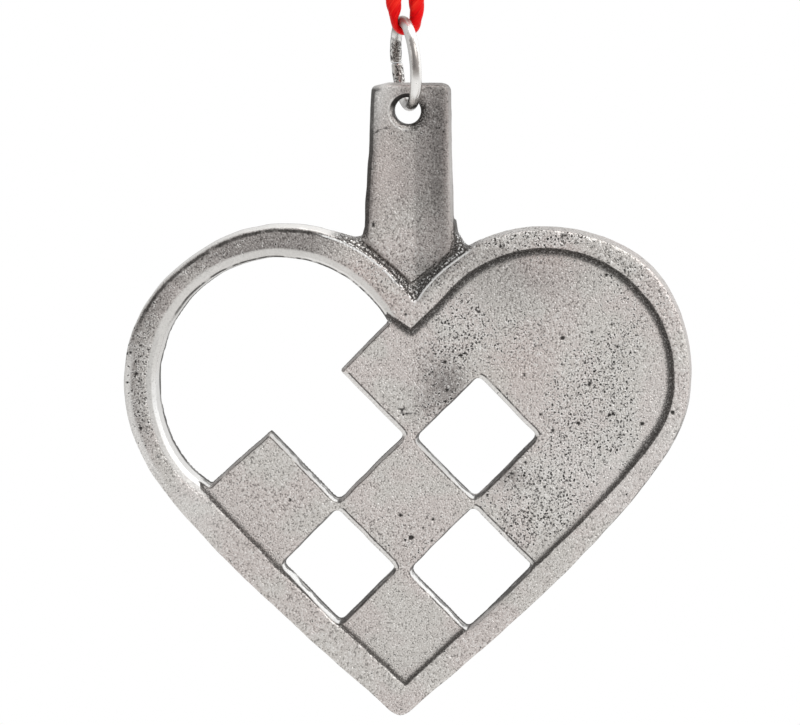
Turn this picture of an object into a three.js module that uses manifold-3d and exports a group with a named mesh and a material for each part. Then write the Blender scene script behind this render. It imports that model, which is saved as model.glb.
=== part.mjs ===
// Woven heart ornament: a cast pewter heart with a lattice of woven strands, a wire ring and a cord loop.
// Millimetres, +Z up. The origin is the top of the cord loop, just under its knot, where a hook holds it.
// The ornament hangs below the origin, its face towards -Y and its flat back towards +Y.

import * as THREE from "three";
import { mergeVertices } from "three/addons/utils/BufferGeometryUtils.js";
import Module from "manifold-3d";

const wasm = await Module();
wasm.setup();

// Casting, through its thickness
const rimThickness = 2.8; // the raised border, from its front to the flat back
const fieldStep = 0.55; // how far the woven field lies below the border
const tabStep = 0.5; // how far the tab's face lies below the border
const grooveStep = 1.05; // how far the groove round the tab's point lies below the border
const tabThickness = rimThickness - tabStep;
const backY = tabThickness / 2; // the tab's middle is over the origin
const rimY = backY - rimThickness;
const fieldY = rimY + fieldStep;
const tabY = rimY + tabStep;
const grooveY = rimY + grooveStep;

// Casting, its edges
const wallDraft = 0.22; // how much a wall leans in from back to front, so that it leaves the mould
const frontRound = 0.24; // the softened edge round each face
const backRound = 0.14; // the softened edge round the back
const stepDraft = 0.4; // the lean of the step from the border down to the field
const openingBevelWidth = 0.75; // the bright bevel round the big opening
const openingBevelDepth = 0.32;

// Heart outline, measured from the middle of the lattice: u across, v up
const leftLobe = { u: -11.0, v: 10.2, radius: 14.05, end: 205, swell: -0.28, swellAt: 124, swellWidth: 20 };
const rightLobe = { u: 11.85, v: 10.95, radius: 13.1, end: -15, swell: 0.5, swellAt: 46, swellWidth: 24 };
const heartPoint = { u: -0.5, v: -19.7 };
const leftFlank = { u: -11.6, v: -9.85, slope: 42.3 }; // where the curved side becomes straight
const rightFlank = { u: 6.0, v: -14.01, slope: 42.0 }; // slopes in degrees below level
const heartPointCut = 1.3; // how much of each side the round at the point takes

// Inner edge of the border
const fieldLobe = { u: 12.2, v: 11.0, radius: 11.1, start: -12, end: 132 };
const fieldCleft = { u: 0.48, v: 14.94 };
const fieldPoint = { u: 0.0, v: -16.25 };
const fieldRightFlank = { u: 10.85, v: -6.04 };
const fieldRightBend = { u: 22.2, v: 4.65 };
const fieldLeftFlank = { u: -11.2, v: -6.04 };
const fieldLeftBend = { u: -14.75, v: -2.45 };
const fieldLeftEnd = { u: -18.0, v: 0.92 };

// Lattice: strands cross at 45 degrees, p runs up to the right and q up to the left
const squarePitch = 8.15;
const neckWidth = 0.95; // the metal left between the corners of two openings
const windowCornerRadius = 0.55;
const windows = [
  { cell: [1, 0], shift: [0.08, -0.44], size: [7.75, 7.3] }, // upper right
  { cell: [0, -1], shift: [-0.3, -0.15], size: [7.9, 7.25] }, // lower right
  { cell: [-1, 0], shift: [-0.3, 0.0], size: [6.9, 7.25] }, // lower left
];

// The big opening in the left lobe, which takes in the fourth square of the lattice
const openingLobe = { u: -11.05, v: 10.4, radius: 10.8, end: 235.5, swell: 0.33, swellAt: 222, swellWidth: 28 };
const openingRight = squarePitch / 2 - neckWidth / 2 + 0.2; // p of the top square's lower edge
const openingLeft = -squarePitch / 2 - 0.32; // p of the left square's upper right edge
const openingBottom = squarePitch / 2 + neckWidth / 2 - 0.43; // q of the middle square's edge
const topSquareReach = squarePitch * 1.5 - 0.03; // q of the top square's outer edge
const leftSquareReach = squarePitch * 1.5 + 0.42; // q of the left square's outer corner
const openingCornerRadius = 0.6;

// Tab
const tabTop = 36.6; // v of its upper edge
const tabTopLeft = -3.2;
const tabTopRight = 3.85;
const tabBaseLeft = -3.85;
const tabBaseRight = 4.2;
const tabShoulder = 22.6; // v where its sides turn in to the point
const tabPoint = { u: 0.45, v: 18.85 };
const tabLeftCorner = 0.45; // the roundness of its two upper corners
const tabRightCorner = 0.9;
const tabRootDepth = 2.4; // how far the metal behind the groove runs into the heart
const tabFillet = 1.5; // the small gusset where the tab leaves each lobe

// Hole for the ring
const holeRadius = 1.2;
const holeChamfer = 0.3;
const holeU = 0.09;
const holeToTop = 2.3; // from its centre to the tab's upper edge

// Jump ring
const ringOuterDiameter = 8.35;
const ringWire = 1.0;
const ringTurn = 16.5; // degrees about the vertical, its front to the right
const ringLean = 5; // degrees, its top to the left
const ringSeam = 0.12; // the butt joint of the wire
const ringSeamAngle = 179; // degrees from the front of the ring, over the top
const ringHoleGap = 0.4;
const ringMeanRadius = (ringOuterDiameter - ringWire) / 2;

// Cord loop
const cordDiameter = 1.2;
const loopDrop = 51.7; // from the origin to the wire at the top of the ring
const cordSides = 8;
const cordStepsPerPoint = 3;
const cordRadius = cordDiameter / 2;

// Knot
const knotHeight = 4.2;
const knotRadius = 1.75;
const knotTail = 3.4; // how far the two cut ends stand out of it
const knotGap = 0.3; // between the knot and the loop's two ends

// Places that follow from the sizes
const ringAside = 0.17; // how far the ring's middle hangs to the right of the origin
const castingAside = 0.26; // and the middle of the lattice
const ringCentre = new THREE.Vector3(ringAside, 0, -loopDrop - ringMeanRadius);
const holeTopZ = ringCentre.z - ringMeanRadius + ringWire / 2 + ringHoleGap;
const holeV = tabTop - holeToTop;
const castingPlace = new THREE.Vector3(castingAside, 0, holeTopZ - holeRadius - holeV);

const outlineSteps = 14;
const lobeSteps = 30;
const cornerFacets = 2;
const heartPointFacets = 5;
const radians = THREE.MathUtils.degToRad;
const beyond = 1.0; // how far a cutter runs past the faces that it cuts

const pewter = new THREE.MeshStandardMaterial({ color: 0xa8a4a0, roughness: 0.45, metalness: 0.9 });
const ringMetal = new THREE.MeshStandardMaterial({ color: 0xd0d0d0, roughness: 0.2, metalness: 1.0 });
const redCord = new THREE.MeshStandardMaterial({ color: 0xd8161c, roughness: 0.55, metalness: 0.0 });

// Solids for joining and cutting

function solidFrom(geometry) {
  const bare = geometry.clone();
  bare.deleteAttribute("normal");
  bare.deleteAttribute("uv");
  const merged = mergeVertices(bare, 1e-5);
  return new wasm.Manifold(
    new wasm.Mesh({
      numProp: 3,
      vertProperties: new Float32Array(merged.attributes.position.array),
      triVerts: new Uint32Array(merged.index.array),
    }),
  );
}

function geometryFrom(solid) {
  const mesh = solid.getMesh();
  const geometry = new THREE.BufferGeometry();
  const places = new Float32Array(mesh.numVert * 3);
  for (let i = 0; i < mesh.numVert; i++) {
    for (let k = 0; k < 3; k++) {
      places[i * 3 + k] = mesh.vertProperties[i * mesh.numProp + k];
    }
  }
  geometry.setAttribute("position", new THREE.BufferAttribute(places, 3));
  geometry.setIndex(new THREE.BufferAttribute(new Uint32Array(mesh.triVerts), 1));
  geometry.computeVertexNormals();
  return geometry;
}

// Outlines, as lists of points that run anticlockwise

function pointsOf(path) {
  const points = path.getPoints(outlineSteps);
  return points.filter((point, i) => point.distanceTo(points[(i + 1) % points.length]) > 1e-4);
}

function grown(points, distance) {
  return points.map((point, i) => {
    const before = points[(i + points.length - 1) % points.length];
    const after = points[(i + 1) % points.length];
    const first = new THREE.Vector2().subVectors(point, before).normalize();
    const second = new THREE.Vector2().subVectors(after, point).normalize();
    const outward = new THREE.Vector2(first.y + second.y, -first.x - second.x);
    return point.clone().addScaledVector(outward, distance / (1 + first.dot(second)));
  });
}

function arcTo(path, lobe, start, end) {
  path.absarc(lobe.u, lobe.v, lobe.radius, radians(start), radians(end), false);
}

// A lobe is a circle that swells out, or in where its swell is negative, about one angle.
function onLobe(lobe, degrees) {
  const reach = lobe.radius + lobe.swell * Math.exp(-(((degrees - lobe.swellAt) / lobe.swellWidth) ** 2));
  return {
    u: lobe.u + reach * Math.cos(radians(degrees)),
    v: lobe.v + reach * Math.sin(radians(degrees)),
  };
}

function lobeTo(path, lobe, start, end) {
  for (let i = 0; i <= lobeSteps; i++) {
    const point = onLobe(lobe, start + ((end - start) * i) / lobeSteps);
    path.lineTo(point.u, point.v);
  }
}

// A closed solid through a row of levels from back to front, each the outline grown by its own amount.
function stack(outline, levels) {
  const rings = levels.map(([y, growth]) => grown(outline, growth).map((p) => [p.x, y, p.y]));
  const count = outline.length;
  const index = [];
  for (let level = 0; level < levels.length - 1; level++) {
    for (let i = 0; i < count; i++) {
      const next = (i + 1) % count;
      const [a, b] = [level * count + i, level * count + next];
      const [c, d] = [a + count, b + count];
      index.push(a, b, d, a, d, c);
    }
  }
  const flat = (ring) => ring.map(([x, , z]) => new THREE.Vector2(x, z));
  const front = (levels.length - 1) * count;
  for (const [a, b, c] of THREE.ShapeUtils.triangulateShape(flat(rings[0]), [])) {
    index.push(a, c, b);
  }
  for (const [a, b, c] of THREE.ShapeUtils.triangulateShape(flat(rings[levels.length - 1]), [])) {
    index.push(front + a, front + b, front + c);
  }
  const geometry = new THREE.BufferGeometry();
  geometry.setAttribute("position", new THREE.Float32BufferAttribute(rings.flat(2), 3));
  geometry.setIndex(index);
  return solidFrom(geometry);
}

// A cast slab: round at the back edge, drafted walls and a softened front edge.
function slab(outline, frontY) {
  return stack(outline, [
    [backY, -backRound],
    [backY - backRound, 0],
    [frontY + frontRound, -wallDraft],
    [frontY, -wallDraft - frontRound],
  ]);
}

// An opening right through, wider at the front, with its edge softened where it meets frontY.
function throughCutter(outline, frontY) {
  return stack(outline, [
    [backY + beyond, beyond],
    [backY - backRound, 0],
    [frontY + frontRound, wallDraft],
    [frontY, wallDraft + frontRound],
    [frontY - beyond, wallDraft + frontRound + beyond],
  ]);
}

// Heart

function cleftOf(left, right) {
  const across = right.u - left.u;
  const rise = right.v - left.v;
  const apart = Math.hypot(across, rise);
  const along = (left.radius ** 2 - right.radius ** 2 + apart ** 2) / (2 * apart);
  const up = Math.sqrt(left.radius ** 2 - along ** 2);
  return {
    u: left.u + (along * across - up * rise) / apart,
    v: left.v + (along * rise + up * across) / apart,
  };
}

function angleOn(lobe, point) {
  return THREE.MathUtils.radToDeg(Math.atan2(point.v - lobe.v, point.u - lobe.u));
}

// Where the line through a flank meets the line that leaves a lobe along its tangent.
function bendBetween(lobePoint, lobeAngle, flank, side) {
  const leave = { u: Math.sin(radians(lobeAngle)) * -side, v: Math.cos(radians(lobeAngle)) * side };
  const arrive = { u: side * -Math.cos(radians(flank.slope)), v: Math.sin(radians(flank.slope)) };
  const gap = { u: flank.u - lobePoint.u, v: flank.v - lobePoint.v };
  const travel = (gap.u * arrive.v - gap.v * arrive.u) / (leave.u * arrive.v - leave.v * arrive.u);
  return { u: lobePoint.u + leave.u * travel, v: lobePoint.v + leave.v * travel };
}

function heartOutline() {
  const cleft = cleftOf(leftLobe, rightLobe);
  const rightStart = onLobe(rightLobe, rightLobe.end);
  const leftEnd = onLobe(leftLobe, leftLobe.end);
  const rightBend = bendBetween(rightStart, rightLobe.end, rightFlank, -1);
  const leftBend = bendBetween(leftEnd, leftLobe.end, leftFlank, 1);
  const path = new THREE.Path();
  path.moveTo(rightFlank.u, rightFlank.v);
  path.quadraticCurveTo(rightBend.u, rightBend.v, rightStart.u, rightStart.v);
  lobeTo(path, rightLobe, rightLobe.end, angleOn(rightLobe, cleft));
  lobeTo(path, leftLobe, angleOn(leftLobe, cleft), leftLobe.end);
  path.quadraticCurveTo(leftBend.u, leftBend.v, leftFlank.u, leftFlank.v);
  roundedCorner(path, heartPoint, leftFlank, rightFlank, heartPointCut, heartPointFacets);
  path.lineTo(rightFlank.u, rightFlank.v);
  return pointsOf(path);
}

// Lattice places

function latticePoint(p, q) {
  return { u: (p - q) / Math.SQRT2, v: (p + q) / Math.SQRT2 };
}

function roundedCorner(path, corner, from, to, cut, facets = cornerFacets) {
  const middle = new THREE.Vector2(corner.u, corner.v);
  const back = new THREE.Vector2(from.u, from.v).sub(middle).setLength(cut).add(middle);
  const on = new THREE.Vector2(to.u, to.v).sub(middle).setLength(cut).add(middle);
  const curve = new THREE.QuadraticBezierCurve(back, middle, on);
  for (const point of curve.getPoints(facets)) {
    path.lineTo(point.x, point.y);
  }
}

function windowOutline({ cell, shift, size }) {
  const p = cell[0] * squarePitch + shift[0];
  const q = cell[1] * squarePitch + shift[1];
  const [halfP, halfQ] = [size[0] / 2, size[1] / 2];
  const corners = [
    latticePoint(p - halfP, q - halfQ),
    latticePoint(p + halfP, q - halfQ),
    latticePoint(p + halfP, q + halfQ),
    latticePoint(p - halfP, q + halfQ),
  ];
  const start = latticePoint(p - halfP, q);
  const path = new THREE.Path();
  path.moveTo(start.u, start.v);
  corners.forEach((corner, i) => {
    const before = corners[(i + 3) % 4];
    const after = corners[(i + 1) % 4];
    roundedCorner(path, corner, before, after, windowCornerRadius);
  });
  return pointsOf(path);
}

// Where a strand's edge along q runs into a lobe's right side.
function crossing(lobe, q) {
  const centreP = (lobe.u + lobe.v) / Math.SQRT2;
  const centreQ = (lobe.v - lobe.u) / Math.SQRT2;
  const p = centreP + Math.sqrt(lobe.radius ** 2 - (q - centreQ) ** 2);
  return latticePoint(p, q);
}

function openingOutline() {
  const leftTop = latticePoint(openingLeft, leftSquareReach);
  const bottom = latticePoint(openingLeft, openingBottom);
  const right = latticePoint(openingRight, openingBottom);
  const topLeft = latticePoint(openingRight, topSquareReach);
  const atCleft = crossing(openingLobe, topSquareReach);
  const path = new THREE.Path();
  path.moveTo(leftTop.u, leftTop.v);
  roundedCorner(path, bottom, leftTop, right, openingCornerRadius);
  roundedCorner(path, right, bottom, topLeft, openingCornerRadius);
  path.lineTo(topLeft.u, topLeft.v);
  path.lineTo(atCleft.u, atCleft.v);
  lobeTo(path, openingLobe, angleOn(openingLobe, atCleft), openingLobe.end);
  path.lineTo(leftTop.u, leftTop.v);
  return pointsOf(path);
}

function fieldOutline() {
  const lobeStart = {
    u: fieldLobe.u + fieldLobe.radius * Math.cos(radians(fieldLobe.start)),
    v: fieldLobe.v + fieldLobe.radius * Math.sin(radians(fieldLobe.start)),
  };
  const path = new THREE.Path();
  path.moveTo(fieldPoint.u, fieldPoint.v);
  path.lineTo(fieldRightFlank.u, fieldRightFlank.v);
  path.quadraticCurveTo(fieldRightBend.u, fieldRightBend.v, lobeStart.u, lobeStart.v);
  arcTo(path, fieldLobe, fieldLobe.start, fieldLobe.end);
  path.lineTo(fieldCleft.u, fieldCleft.v);
  const reach = openingLobe.radius;
  path.lineTo(fieldCleft.u - reach * 0.19, fieldCleft.v + reach * 0.13);
  path.lineTo(openingLobe.u + reach * 0.7, openingLobe.v + reach * 0.47);
  path.lineTo(openingLobe.u - reach * 0.2, openingLobe.v - reach * 0.22);
  path.lineTo(openingLobe.u - reach * 0.67, openingLobe.v - reach * 0.64);
  path.lineTo(fieldLeftEnd.u, fieldLeftEnd.v);
  path.quadraticCurveTo(fieldLeftBend.u, fieldLeftBend.v, fieldLeftFlank.u, fieldLeftFlank.v);
  path.lineTo(fieldPoint.u, fieldPoint.v);
  return pointsOf(path);
}

function fieldCutter() {
  return stack(fieldOutline(), [
    [fieldY, -stepDraft / 2],
    [rimY, stepDraft / 2],
    [rimY - beyond, stepDraft / 2 + beyond],
  ]);
}

function openingCutter() {
  const bevelStart = rimY + openingBevelDepth;
  const slope = openingBevelWidth / openingBevelDepth;
  return stack(openingOutline(), [
    [backY + beyond, beyond],
    [backY - backRound, 0],
    [fieldY + frontRound, wallDraft],
    [bevelStart, wallDraft + frontRound],
    [rimY, wallDraft + frontRound + openingBevelWidth],
    [rimY - beyond / 2, wallDraft + frontRound + openingBevelWidth + (beyond / 2) * slope],
  ]);
}

// Tab

function tabOutline() {
  const left = { u: tabTopLeft, v: tabTop };
  const right = { u: tabTopRight, v: tabTop };
  const baseLeft = { u: tabBaseLeft, v: tabShoulder };
  const baseRight = { u: tabBaseRight, v: tabShoulder };
  const path = new THREE.Path();
  path.moveTo(tabPoint.u, tabPoint.v);
  path.lineTo(baseRight.u, baseRight.v);
  roundedCorner(path, right, baseRight, left, tabRightCorner);
  roundedCorner(path, left, right, baseLeft, tabLeftCorner);
  path.lineTo(baseLeft.u, baseLeft.v);
  path.lineTo(tabPoint.u, tabPoint.v);
  return pointsOf(path);
}

function tabRootOutline() {
  const root = tabShoulder - tabRootDepth / 2;
  const path = new THREE.Path();
  path.moveTo(tabPoint.u, tabPoint.v - tabRootDepth);
  path.lineTo(tabBaseRight + tabFillet, root + tabFillet * 0.4);
  path.lineTo(tabBaseRight + tabFillet * 0.4, tabShoulder + tabFillet * 0.5);
  path.lineTo(tabBaseRight, tabShoulder + tabFillet * 1.3);
  path.lineTo(tabBaseLeft, tabShoulder + tabFillet);
  path.lineTo(tabBaseLeft - tabFillet * 0.3, tabShoulder + tabFillet * 0.3);
  path.lineTo(tabBaseLeft - tabFillet * 0.8, root + tabFillet * 0.3);
  path.lineTo(tabPoint.u, tabPoint.v - tabRootDepth);
  return pointsOf(path);
}

function holeCutter() {
  const path = new THREE.Path();
  path.absarc(holeU, holeV, holeRadius, 0, Math.PI * 2, false);
  return stack(pointsOf(path), [
    [backY + holeChamfer, holeChamfer * 2],
    [backY - holeChamfer, 0],
    [tabY + holeChamfer, 0],
    [tabY - holeChamfer, holeChamfer * 2],
  ]);
}

function heartCasting() {
  const cut = slab(heartOutline(), rimY)
    .subtract(fieldCutter())
    .add(slab(tabRootOutline(), grooveY))
    .add(slab(tabOutline(), tabY))
    .subtract(openingCutter())
    .subtract(holeCutter());
  const open = windows.reduce(
    (solid, window) => solid.subtract(throughCutter(windowOutline(window), fieldY)),
    cut,
  );
  const mesh = new THREE.Mesh(geometryFrom(open), pewter);
  mesh.name = "heart_casting";
  mesh.position.copy(castingPlace);
  return mesh;
}

// Jump ring, a turn of round wire whose ends butt together

class RingWire extends THREE.Curve {
  getPoint(t) {
    const open = ringSeam / ringMeanRadius;
    const angle = radians(ringSeamAngle) + open / 2 + t * (Math.PI * 2 - open);
    return new THREE.Vector3(
      0,
      -ringMeanRadius * Math.cos(angle),
      ringMeanRadius * Math.sin(angle),
    );
  }
}

function section(radius, sides) {
  const shape = new THREE.Shape();
  for (let i = 0; i < sides; i++) {
    const angle = (i / sides) * Math.PI * 2;
    const [x, y] = [radius * Math.cos(angle), radius * Math.sin(angle)];
    if (i === 0) {
      shape.moveTo(x, y);
    } else {
      shape.lineTo(x, y);
    }
  }
  shape.closePath();
  return shape;
}

function jumpRing() {
  const geometry = new THREE.ExtrudeGeometry(section(ringWire / 2, 12), {
    extrudePath: new RingWire(),
    steps: 44,
  });
  const mesh = new THREE.Mesh(geometry, ringMetal);
  mesh.name = "jump_ring";
  mesh.position.copy(ringCentre);
  mesh.rotation.set(0, -radians(ringLean), radians(ringTurn), "YXZ");
  return mesh;
}

// Cord loop: from the knot down one side, under the ring's top wire and up the other side to the knot

const cordPoints = [
  [-0.64, 0.0, -knotGap],
  [-0.68, -0.03, -2.5],
  [-0.78, -0.08, -7.0],
  [-0.9, -0.12, -14.0],
  [-0.97, -0.15, -22.0],
  [-1.0, -0.18, -30.0],
  [-1.02, -0.2, -38.0],
  [-1.05, -0.22, -44.0],
  [-1.1, -0.24, -47.5],
  [-1.2, -0.26, -49.6],
  [-1.34, -0.28, -51.2],
  [-1.26, -0.22, -52.15],
  [-0.76, -0.08, -52.9],
  [-0.08, 0.1, -53.14],
  [0.58, 0.26, -52.92],
  [1.02, 0.4, -52.2],
  [1.12, 0.46, -51.2],
  [1.1, 0.48, -49.6],
  [1.09, 0.46, -47.5],
  [1.07, 0.44, -44.0],
  [1.03, 0.4, -38.0],
  [1.0, 0.36, -30.0],
  [0.96, 0.3, -22.0],
  [0.88, 0.2, -14.0],
  [0.78, 0.1, -7.0],
  [0.68, 0.03, -2.5],
  [0.64, 0.0, -knotGap],
];

function hangingCord() {
  const path = new THREE.CatmullRomCurve3(cordPoints.map((point) => new THREE.Vector3(...point)));
  path.getUtoTmapping = (share) => share; // the steps follow the points, so the bend gets as many
  const geometry = new THREE.ExtrudeGeometry(section(cordRadius, cordSides), {
    extrudePath: path,
    steps: (cordPoints.length - 1) * cordStepsPerPoint,
  });
  const mesh = new THREE.Mesh(geometry, redCord);
  mesh.name = "hanging_cord";
  return mesh;
}

// Knot: a round barrel of wound cord with its two cut ends standing out of the top

function knotBarrel() {
  const profile = new THREE.Path();
  profile.moveTo(0, 0);
  profile.lineTo(knotRadius * 0.65, 0);
  profile.quadraticCurveTo(knotRadius, knotHeight * 0.1, knotRadius, knotHeight * 0.35);
  profile.lineTo(knotRadius * 0.95, knotHeight * 0.7);
  profile.quadraticCurveTo(knotRadius * 0.9, knotHeight, knotRadius * 0.55, knotHeight);
  profile.lineTo(0, knotHeight);
  const barrel = new THREE.LatheGeometry(profile.getPoints(4), 20);
  barrel.rotateX(Math.PI / 2);
  return solidFrom(barrel);
}

function knotEnd(side) {
  const foot = new THREE.Vector3(side * cordRadius * 0.9, 0, knotHeight / 2);
  const tip = new THREE.Vector3(side * (cordRadius + 0.7), side * 0.3, knotHeight + knotTail);
  const geometry = new THREE.ExtrudeGeometry(section(cordRadius, cordSides), {
    extrudePath: new THREE.LineCurve3(foot, tip),
    steps: 1,
  });
  return solidFrom(geometry);
}

function cordKnot() {
  const solid = knotBarrel().add(knotEnd(-1)).add(knotEnd(1));
  const mesh = new THREE.Mesh(geometryFrom(solid), redCord);
  mesh.name = "cord_knot";
  return mesh;
}

const ornament = new THREE.Group();
ornament.name = "woven_heart_ornament";
ornament.add(heartCasting(), jumpRing(), hangingCord(), cordKnot());

export default ornament;
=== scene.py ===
# Woven heart ornament: a cast pewter heart, the wire ring in its tab and a loop of red cord.
# Sizes are in millimetres and are turned to metres where a mesh is made. The face looks towards -Y.
import math

import bmesh
import bpy
import numpy as np
from mathutils import Matrix, Vector


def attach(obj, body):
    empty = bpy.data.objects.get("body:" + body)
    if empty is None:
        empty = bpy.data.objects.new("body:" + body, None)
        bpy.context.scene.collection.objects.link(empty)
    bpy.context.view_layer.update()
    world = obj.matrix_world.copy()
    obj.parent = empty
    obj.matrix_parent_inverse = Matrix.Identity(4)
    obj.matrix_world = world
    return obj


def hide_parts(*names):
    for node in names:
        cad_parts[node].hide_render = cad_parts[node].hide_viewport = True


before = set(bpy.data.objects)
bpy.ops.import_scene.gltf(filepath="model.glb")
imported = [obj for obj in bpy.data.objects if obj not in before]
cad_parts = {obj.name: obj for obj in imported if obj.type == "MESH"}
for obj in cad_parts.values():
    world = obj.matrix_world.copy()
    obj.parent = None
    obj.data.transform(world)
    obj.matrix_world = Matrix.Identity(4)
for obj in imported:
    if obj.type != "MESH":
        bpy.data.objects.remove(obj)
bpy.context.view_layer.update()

mm = 0.001
scene = bpy.context.scene
print("ornament: frame loaded with", len(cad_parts), "nodes")

# Camera, first, because the cord is judged by what it sees

photoView = {
    "target": (-0.35, 0.0, -81.6),  # what the middle of the picture shows
    "distance": 375.0,
    "aside": 3.75,  # degrees to the right of the plate's own axis
    "above": 5.5,  # degrees
    "across": 70.3,  # how much the picture's width takes in at the target
    "sensor": 36.0,
}


def makeCamera():
    aside = math.radians(photoView["aside"])
    above = math.radians(photoView["above"])
    back = Vector((math.sin(aside) * math.cos(above), -math.cos(aside) * math.cos(above), math.sin(above)))
    data = bpy.data.cameras.new("photoCamera")
    data.sensor_width = photoView["sensor"]
    data.lens = photoView["sensor"] * photoView["distance"] / photoView["across"]
    data.clip_start, data.clip_end = 0.01, 20
    camera = bpy.data.objects.new("photoCamera", data)
    camera.location = (Vector(photoView["target"]) + back * photoView["distance"]) * mm
    camera.rotation_mode = "QUATERNION"
    camera.rotation_quaternion = (-back).to_track_quat("-Z", "Y")
    scene.collection.objects.link(camera)
    scene.camera = camera


makeCamera()

# Meshes from points


def meshObject(name, points, faces, smooth=True):
    mesh = bpy.data.meshes.new(name)
    mesh.from_pydata([tuple(p) for p in points], [], [tuple(f) for f in faces])
    mesh.update()
    if smooth:
        mesh.polygons.foreach_set("use_smooth", np.ones(len(mesh.polygons), bool))
    made = bpy.data.objects.new(name, mesh)
    scene.collection.objects.link(made)
    return made


def storeAttribute(obj, name, values):
    layer = obj.data.attributes.new(name, "FLOAT", "POINT")
    layer.data.foreach_set("value", np.asarray(values, np.float32))


def eased(value, low, high):
    share = np.clip((value - low) / (high - low), 0, 1)
    return share * share * (3 - 2 * share)


def between(value, low, full, fade, high):
    return eased(value, low, full) * eased(-value, -high, -fade)


# A smooth line through a row of points, and the frame that runs along it


def smoothLine(points, step):
    rows = np.asarray(points, float)
    rows = np.vstack([2 * rows[0] - rows[1], rows, 2 * rows[-1] - rows[-2]])
    line = []
    for before, start, end, after in zip(rows, rows[1:], rows[2:], rows[3:]):
        count = max(2, int(round(np.linalg.norm(end - start) / step)))
        for t in np.arange(count) / count:
            curved = (2 * before - 5 * start + 4 * end - after) * t ** 2
            turned = (3 * start - before - 3 * end + after) * t ** 3
            line.append(0.5 * (2 * start + (end - before) * t + curved + turned))
    line.append(rows[-2])
    return np.array(line)


def framesAlong(line):
    ahead = np.gradient(line, axis=0)
    ahead /= np.linalg.norm(ahead, axis=1)[:, None]
    side = np.cross(ahead[0], (0.0, 1.0, 0.0))
    if np.linalg.norm(side) < 0.1:
        side = np.cross(ahead[0], (1.0, 0.0, 0.0))
    sides = []
    for direction in ahead:
        side = side - direction * side.dot(direction)
        side = side / np.linalg.norm(side)
        sides.append(side)
    sides = np.array(sides)
    return ahead, sides, np.cross(ahead, sides)


def lengthAlong(line):
    return np.concatenate([[0], np.cumsum(np.linalg.norm(np.diff(line, axis=0), axis=1))])


def tubeFaces(count, ring, turned=False):
    faces = []
    for i in range(count - 1):
        for j in range(ring):
            k = (j + 1) % ring
            near, far = (i * ring + j, i * ring + k), ((i + 1) * ring + k, (i + 1) * ring + j)
            faces.append((near[0], far[1], far[0], near[1]) if turned else near + far)
    ends = [tuple(range(ring - 1, -1, -1)), tuple((count - 1) * ring + j for j in range(ring))]
    return faces + [end[::-1] if turned else end for end in ends]


# Cord: three satin strands laid round each other, as one tube with a lobed section

cordLook = {
    "diameter": 1.2,
    "step": 0.22,
    "sides": 30,
    "strands": 3,
    "lay": 4.6,  # the length in which a strand goes once round
    "groove": 0.16,  # how deep the valleys between the strands are, as a share of the radius
    "unevenness": 0.035,
    "knotGap": 0.3,
    "points": [
        (-0.64, 0.0, -0.3), (-0.68, -0.03, -2.5), (-0.78, -0.08, -7.0), (-0.9, -0.12, -14.0),
        (-0.95, -0.2, -22.0), (-0.97, -0.3, -30.0), (-0.95, -0.42, -38.0), (-0.92, -0.5, -44.0),
        (-0.88, -0.56, -47.5), (-0.84, -0.6, -49.6), (-0.82, -0.63, -50.8), (-0.81, -0.63, -51.6),
        (-0.6, -0.57, -52.28), (-0.05, -0.4, -52.6), (0.5, -0.1, -52.5), (0.88, 0.12, -52.05),
        (1.05, 0.25, -51.2), (1.1, 0.32, -49.6), (1.12, 0.36, -47.5), (1.1, 0.38, -44.0),
        (1.05, 0.38, -38.0), (1.0, 0.34, -30.0), (0.96, 0.28, -22.0), (0.88, 0.2, -14.0),
        (0.78, 0.1, -7.0), (0.68, 0.03, -2.5), (0.64, 0.0, -0.3),
    ],
    "wireAt": (-0.03, -0.4, -51.73),  # where the cord hangs on the ring's wire
    "acrossWire": (0.959, 0.284, 0.0),
    "flatOnWire": (0.5, 0.9),  # on its left side and on its right
    "flatReach": 0.8,
    "splay": (0.22, 2.3, 1.5),  # how much wider the cord is just above the ring, how far up, how far on
}


def pressed(line, offsets):
    look = cordLook
    across = np.array(look["acrossWire"])
    fromWire = line - np.array(look["wireAt"])
    height = fromWire[:, 2]
    away = np.outer(fromWire @ across, across) + np.outer(np.minimum(height, 0), (0, 0, 1))
    away /= np.maximum(np.linalg.norm(away, axis=1), 1e-6)[:, None]
    near = np.exp(-((np.maximum(height, 0) / look["flatReach"]) ** 2))
    amount, middle, reach = look["splay"]
    wider = amount * np.exp(-(((height - middle) / reach) ** 2))
    leftFlat, rightFlat = look["flatOnWire"]
    flatter = (leftFlat - 1 + (rightFlat - leftFlat) * eased(fromWire @ across, 0.2, 0.9)) * near
    along = np.einsum("ijk,ik->ij", offsets, away) * flatter[:, None]
    sideways = (offsets @ across) * wider[:, None]
    return offsets + along[..., None] * away[:, None, :] + sideways[..., None] * across


def cordTube(line, radii, phase=0.0):
    look = cordLook
    ahead, sides, ups = framesAlong(line)
    travel = lengthAlong(line)
    around = np.arange(look["sides"]) / look["sides"] * 2 * math.pi
    twist = travel[:, None] / look["lay"] * 2 * math.pi + phase
    strand = look["strands"] * (around[None, :] - twist)
    valley = 1 - np.abs(np.cos(strand / 2)) ** 0.6
    sway = np.sin(travel * 2.1 + 0.7 * np.sin(travel * 0.9))[:, None]
    reach = radii[:, None] * (1 - look["groove"] * valley + look["unevenness"] * sway * np.cos(around - 1.0))
    points = sides[:, None, :] * (reach * np.cos(around))[..., None]
    points += ups[:, None, :] * (reach * np.sin(around))[..., None]
    points = line[:, None, :] + pressed(line, points)
    count, ring = points.shape[:2]
    faces = tubeFaces(count, ring)
    along = np.repeat(travel, ring)
    turned = (np.tile(around, count) - np.repeat(twist[:, 0], ring)) / (2 * math.pi)
    return points.reshape(-1, 3), faces, along, turned, valley.ravel()


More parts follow.
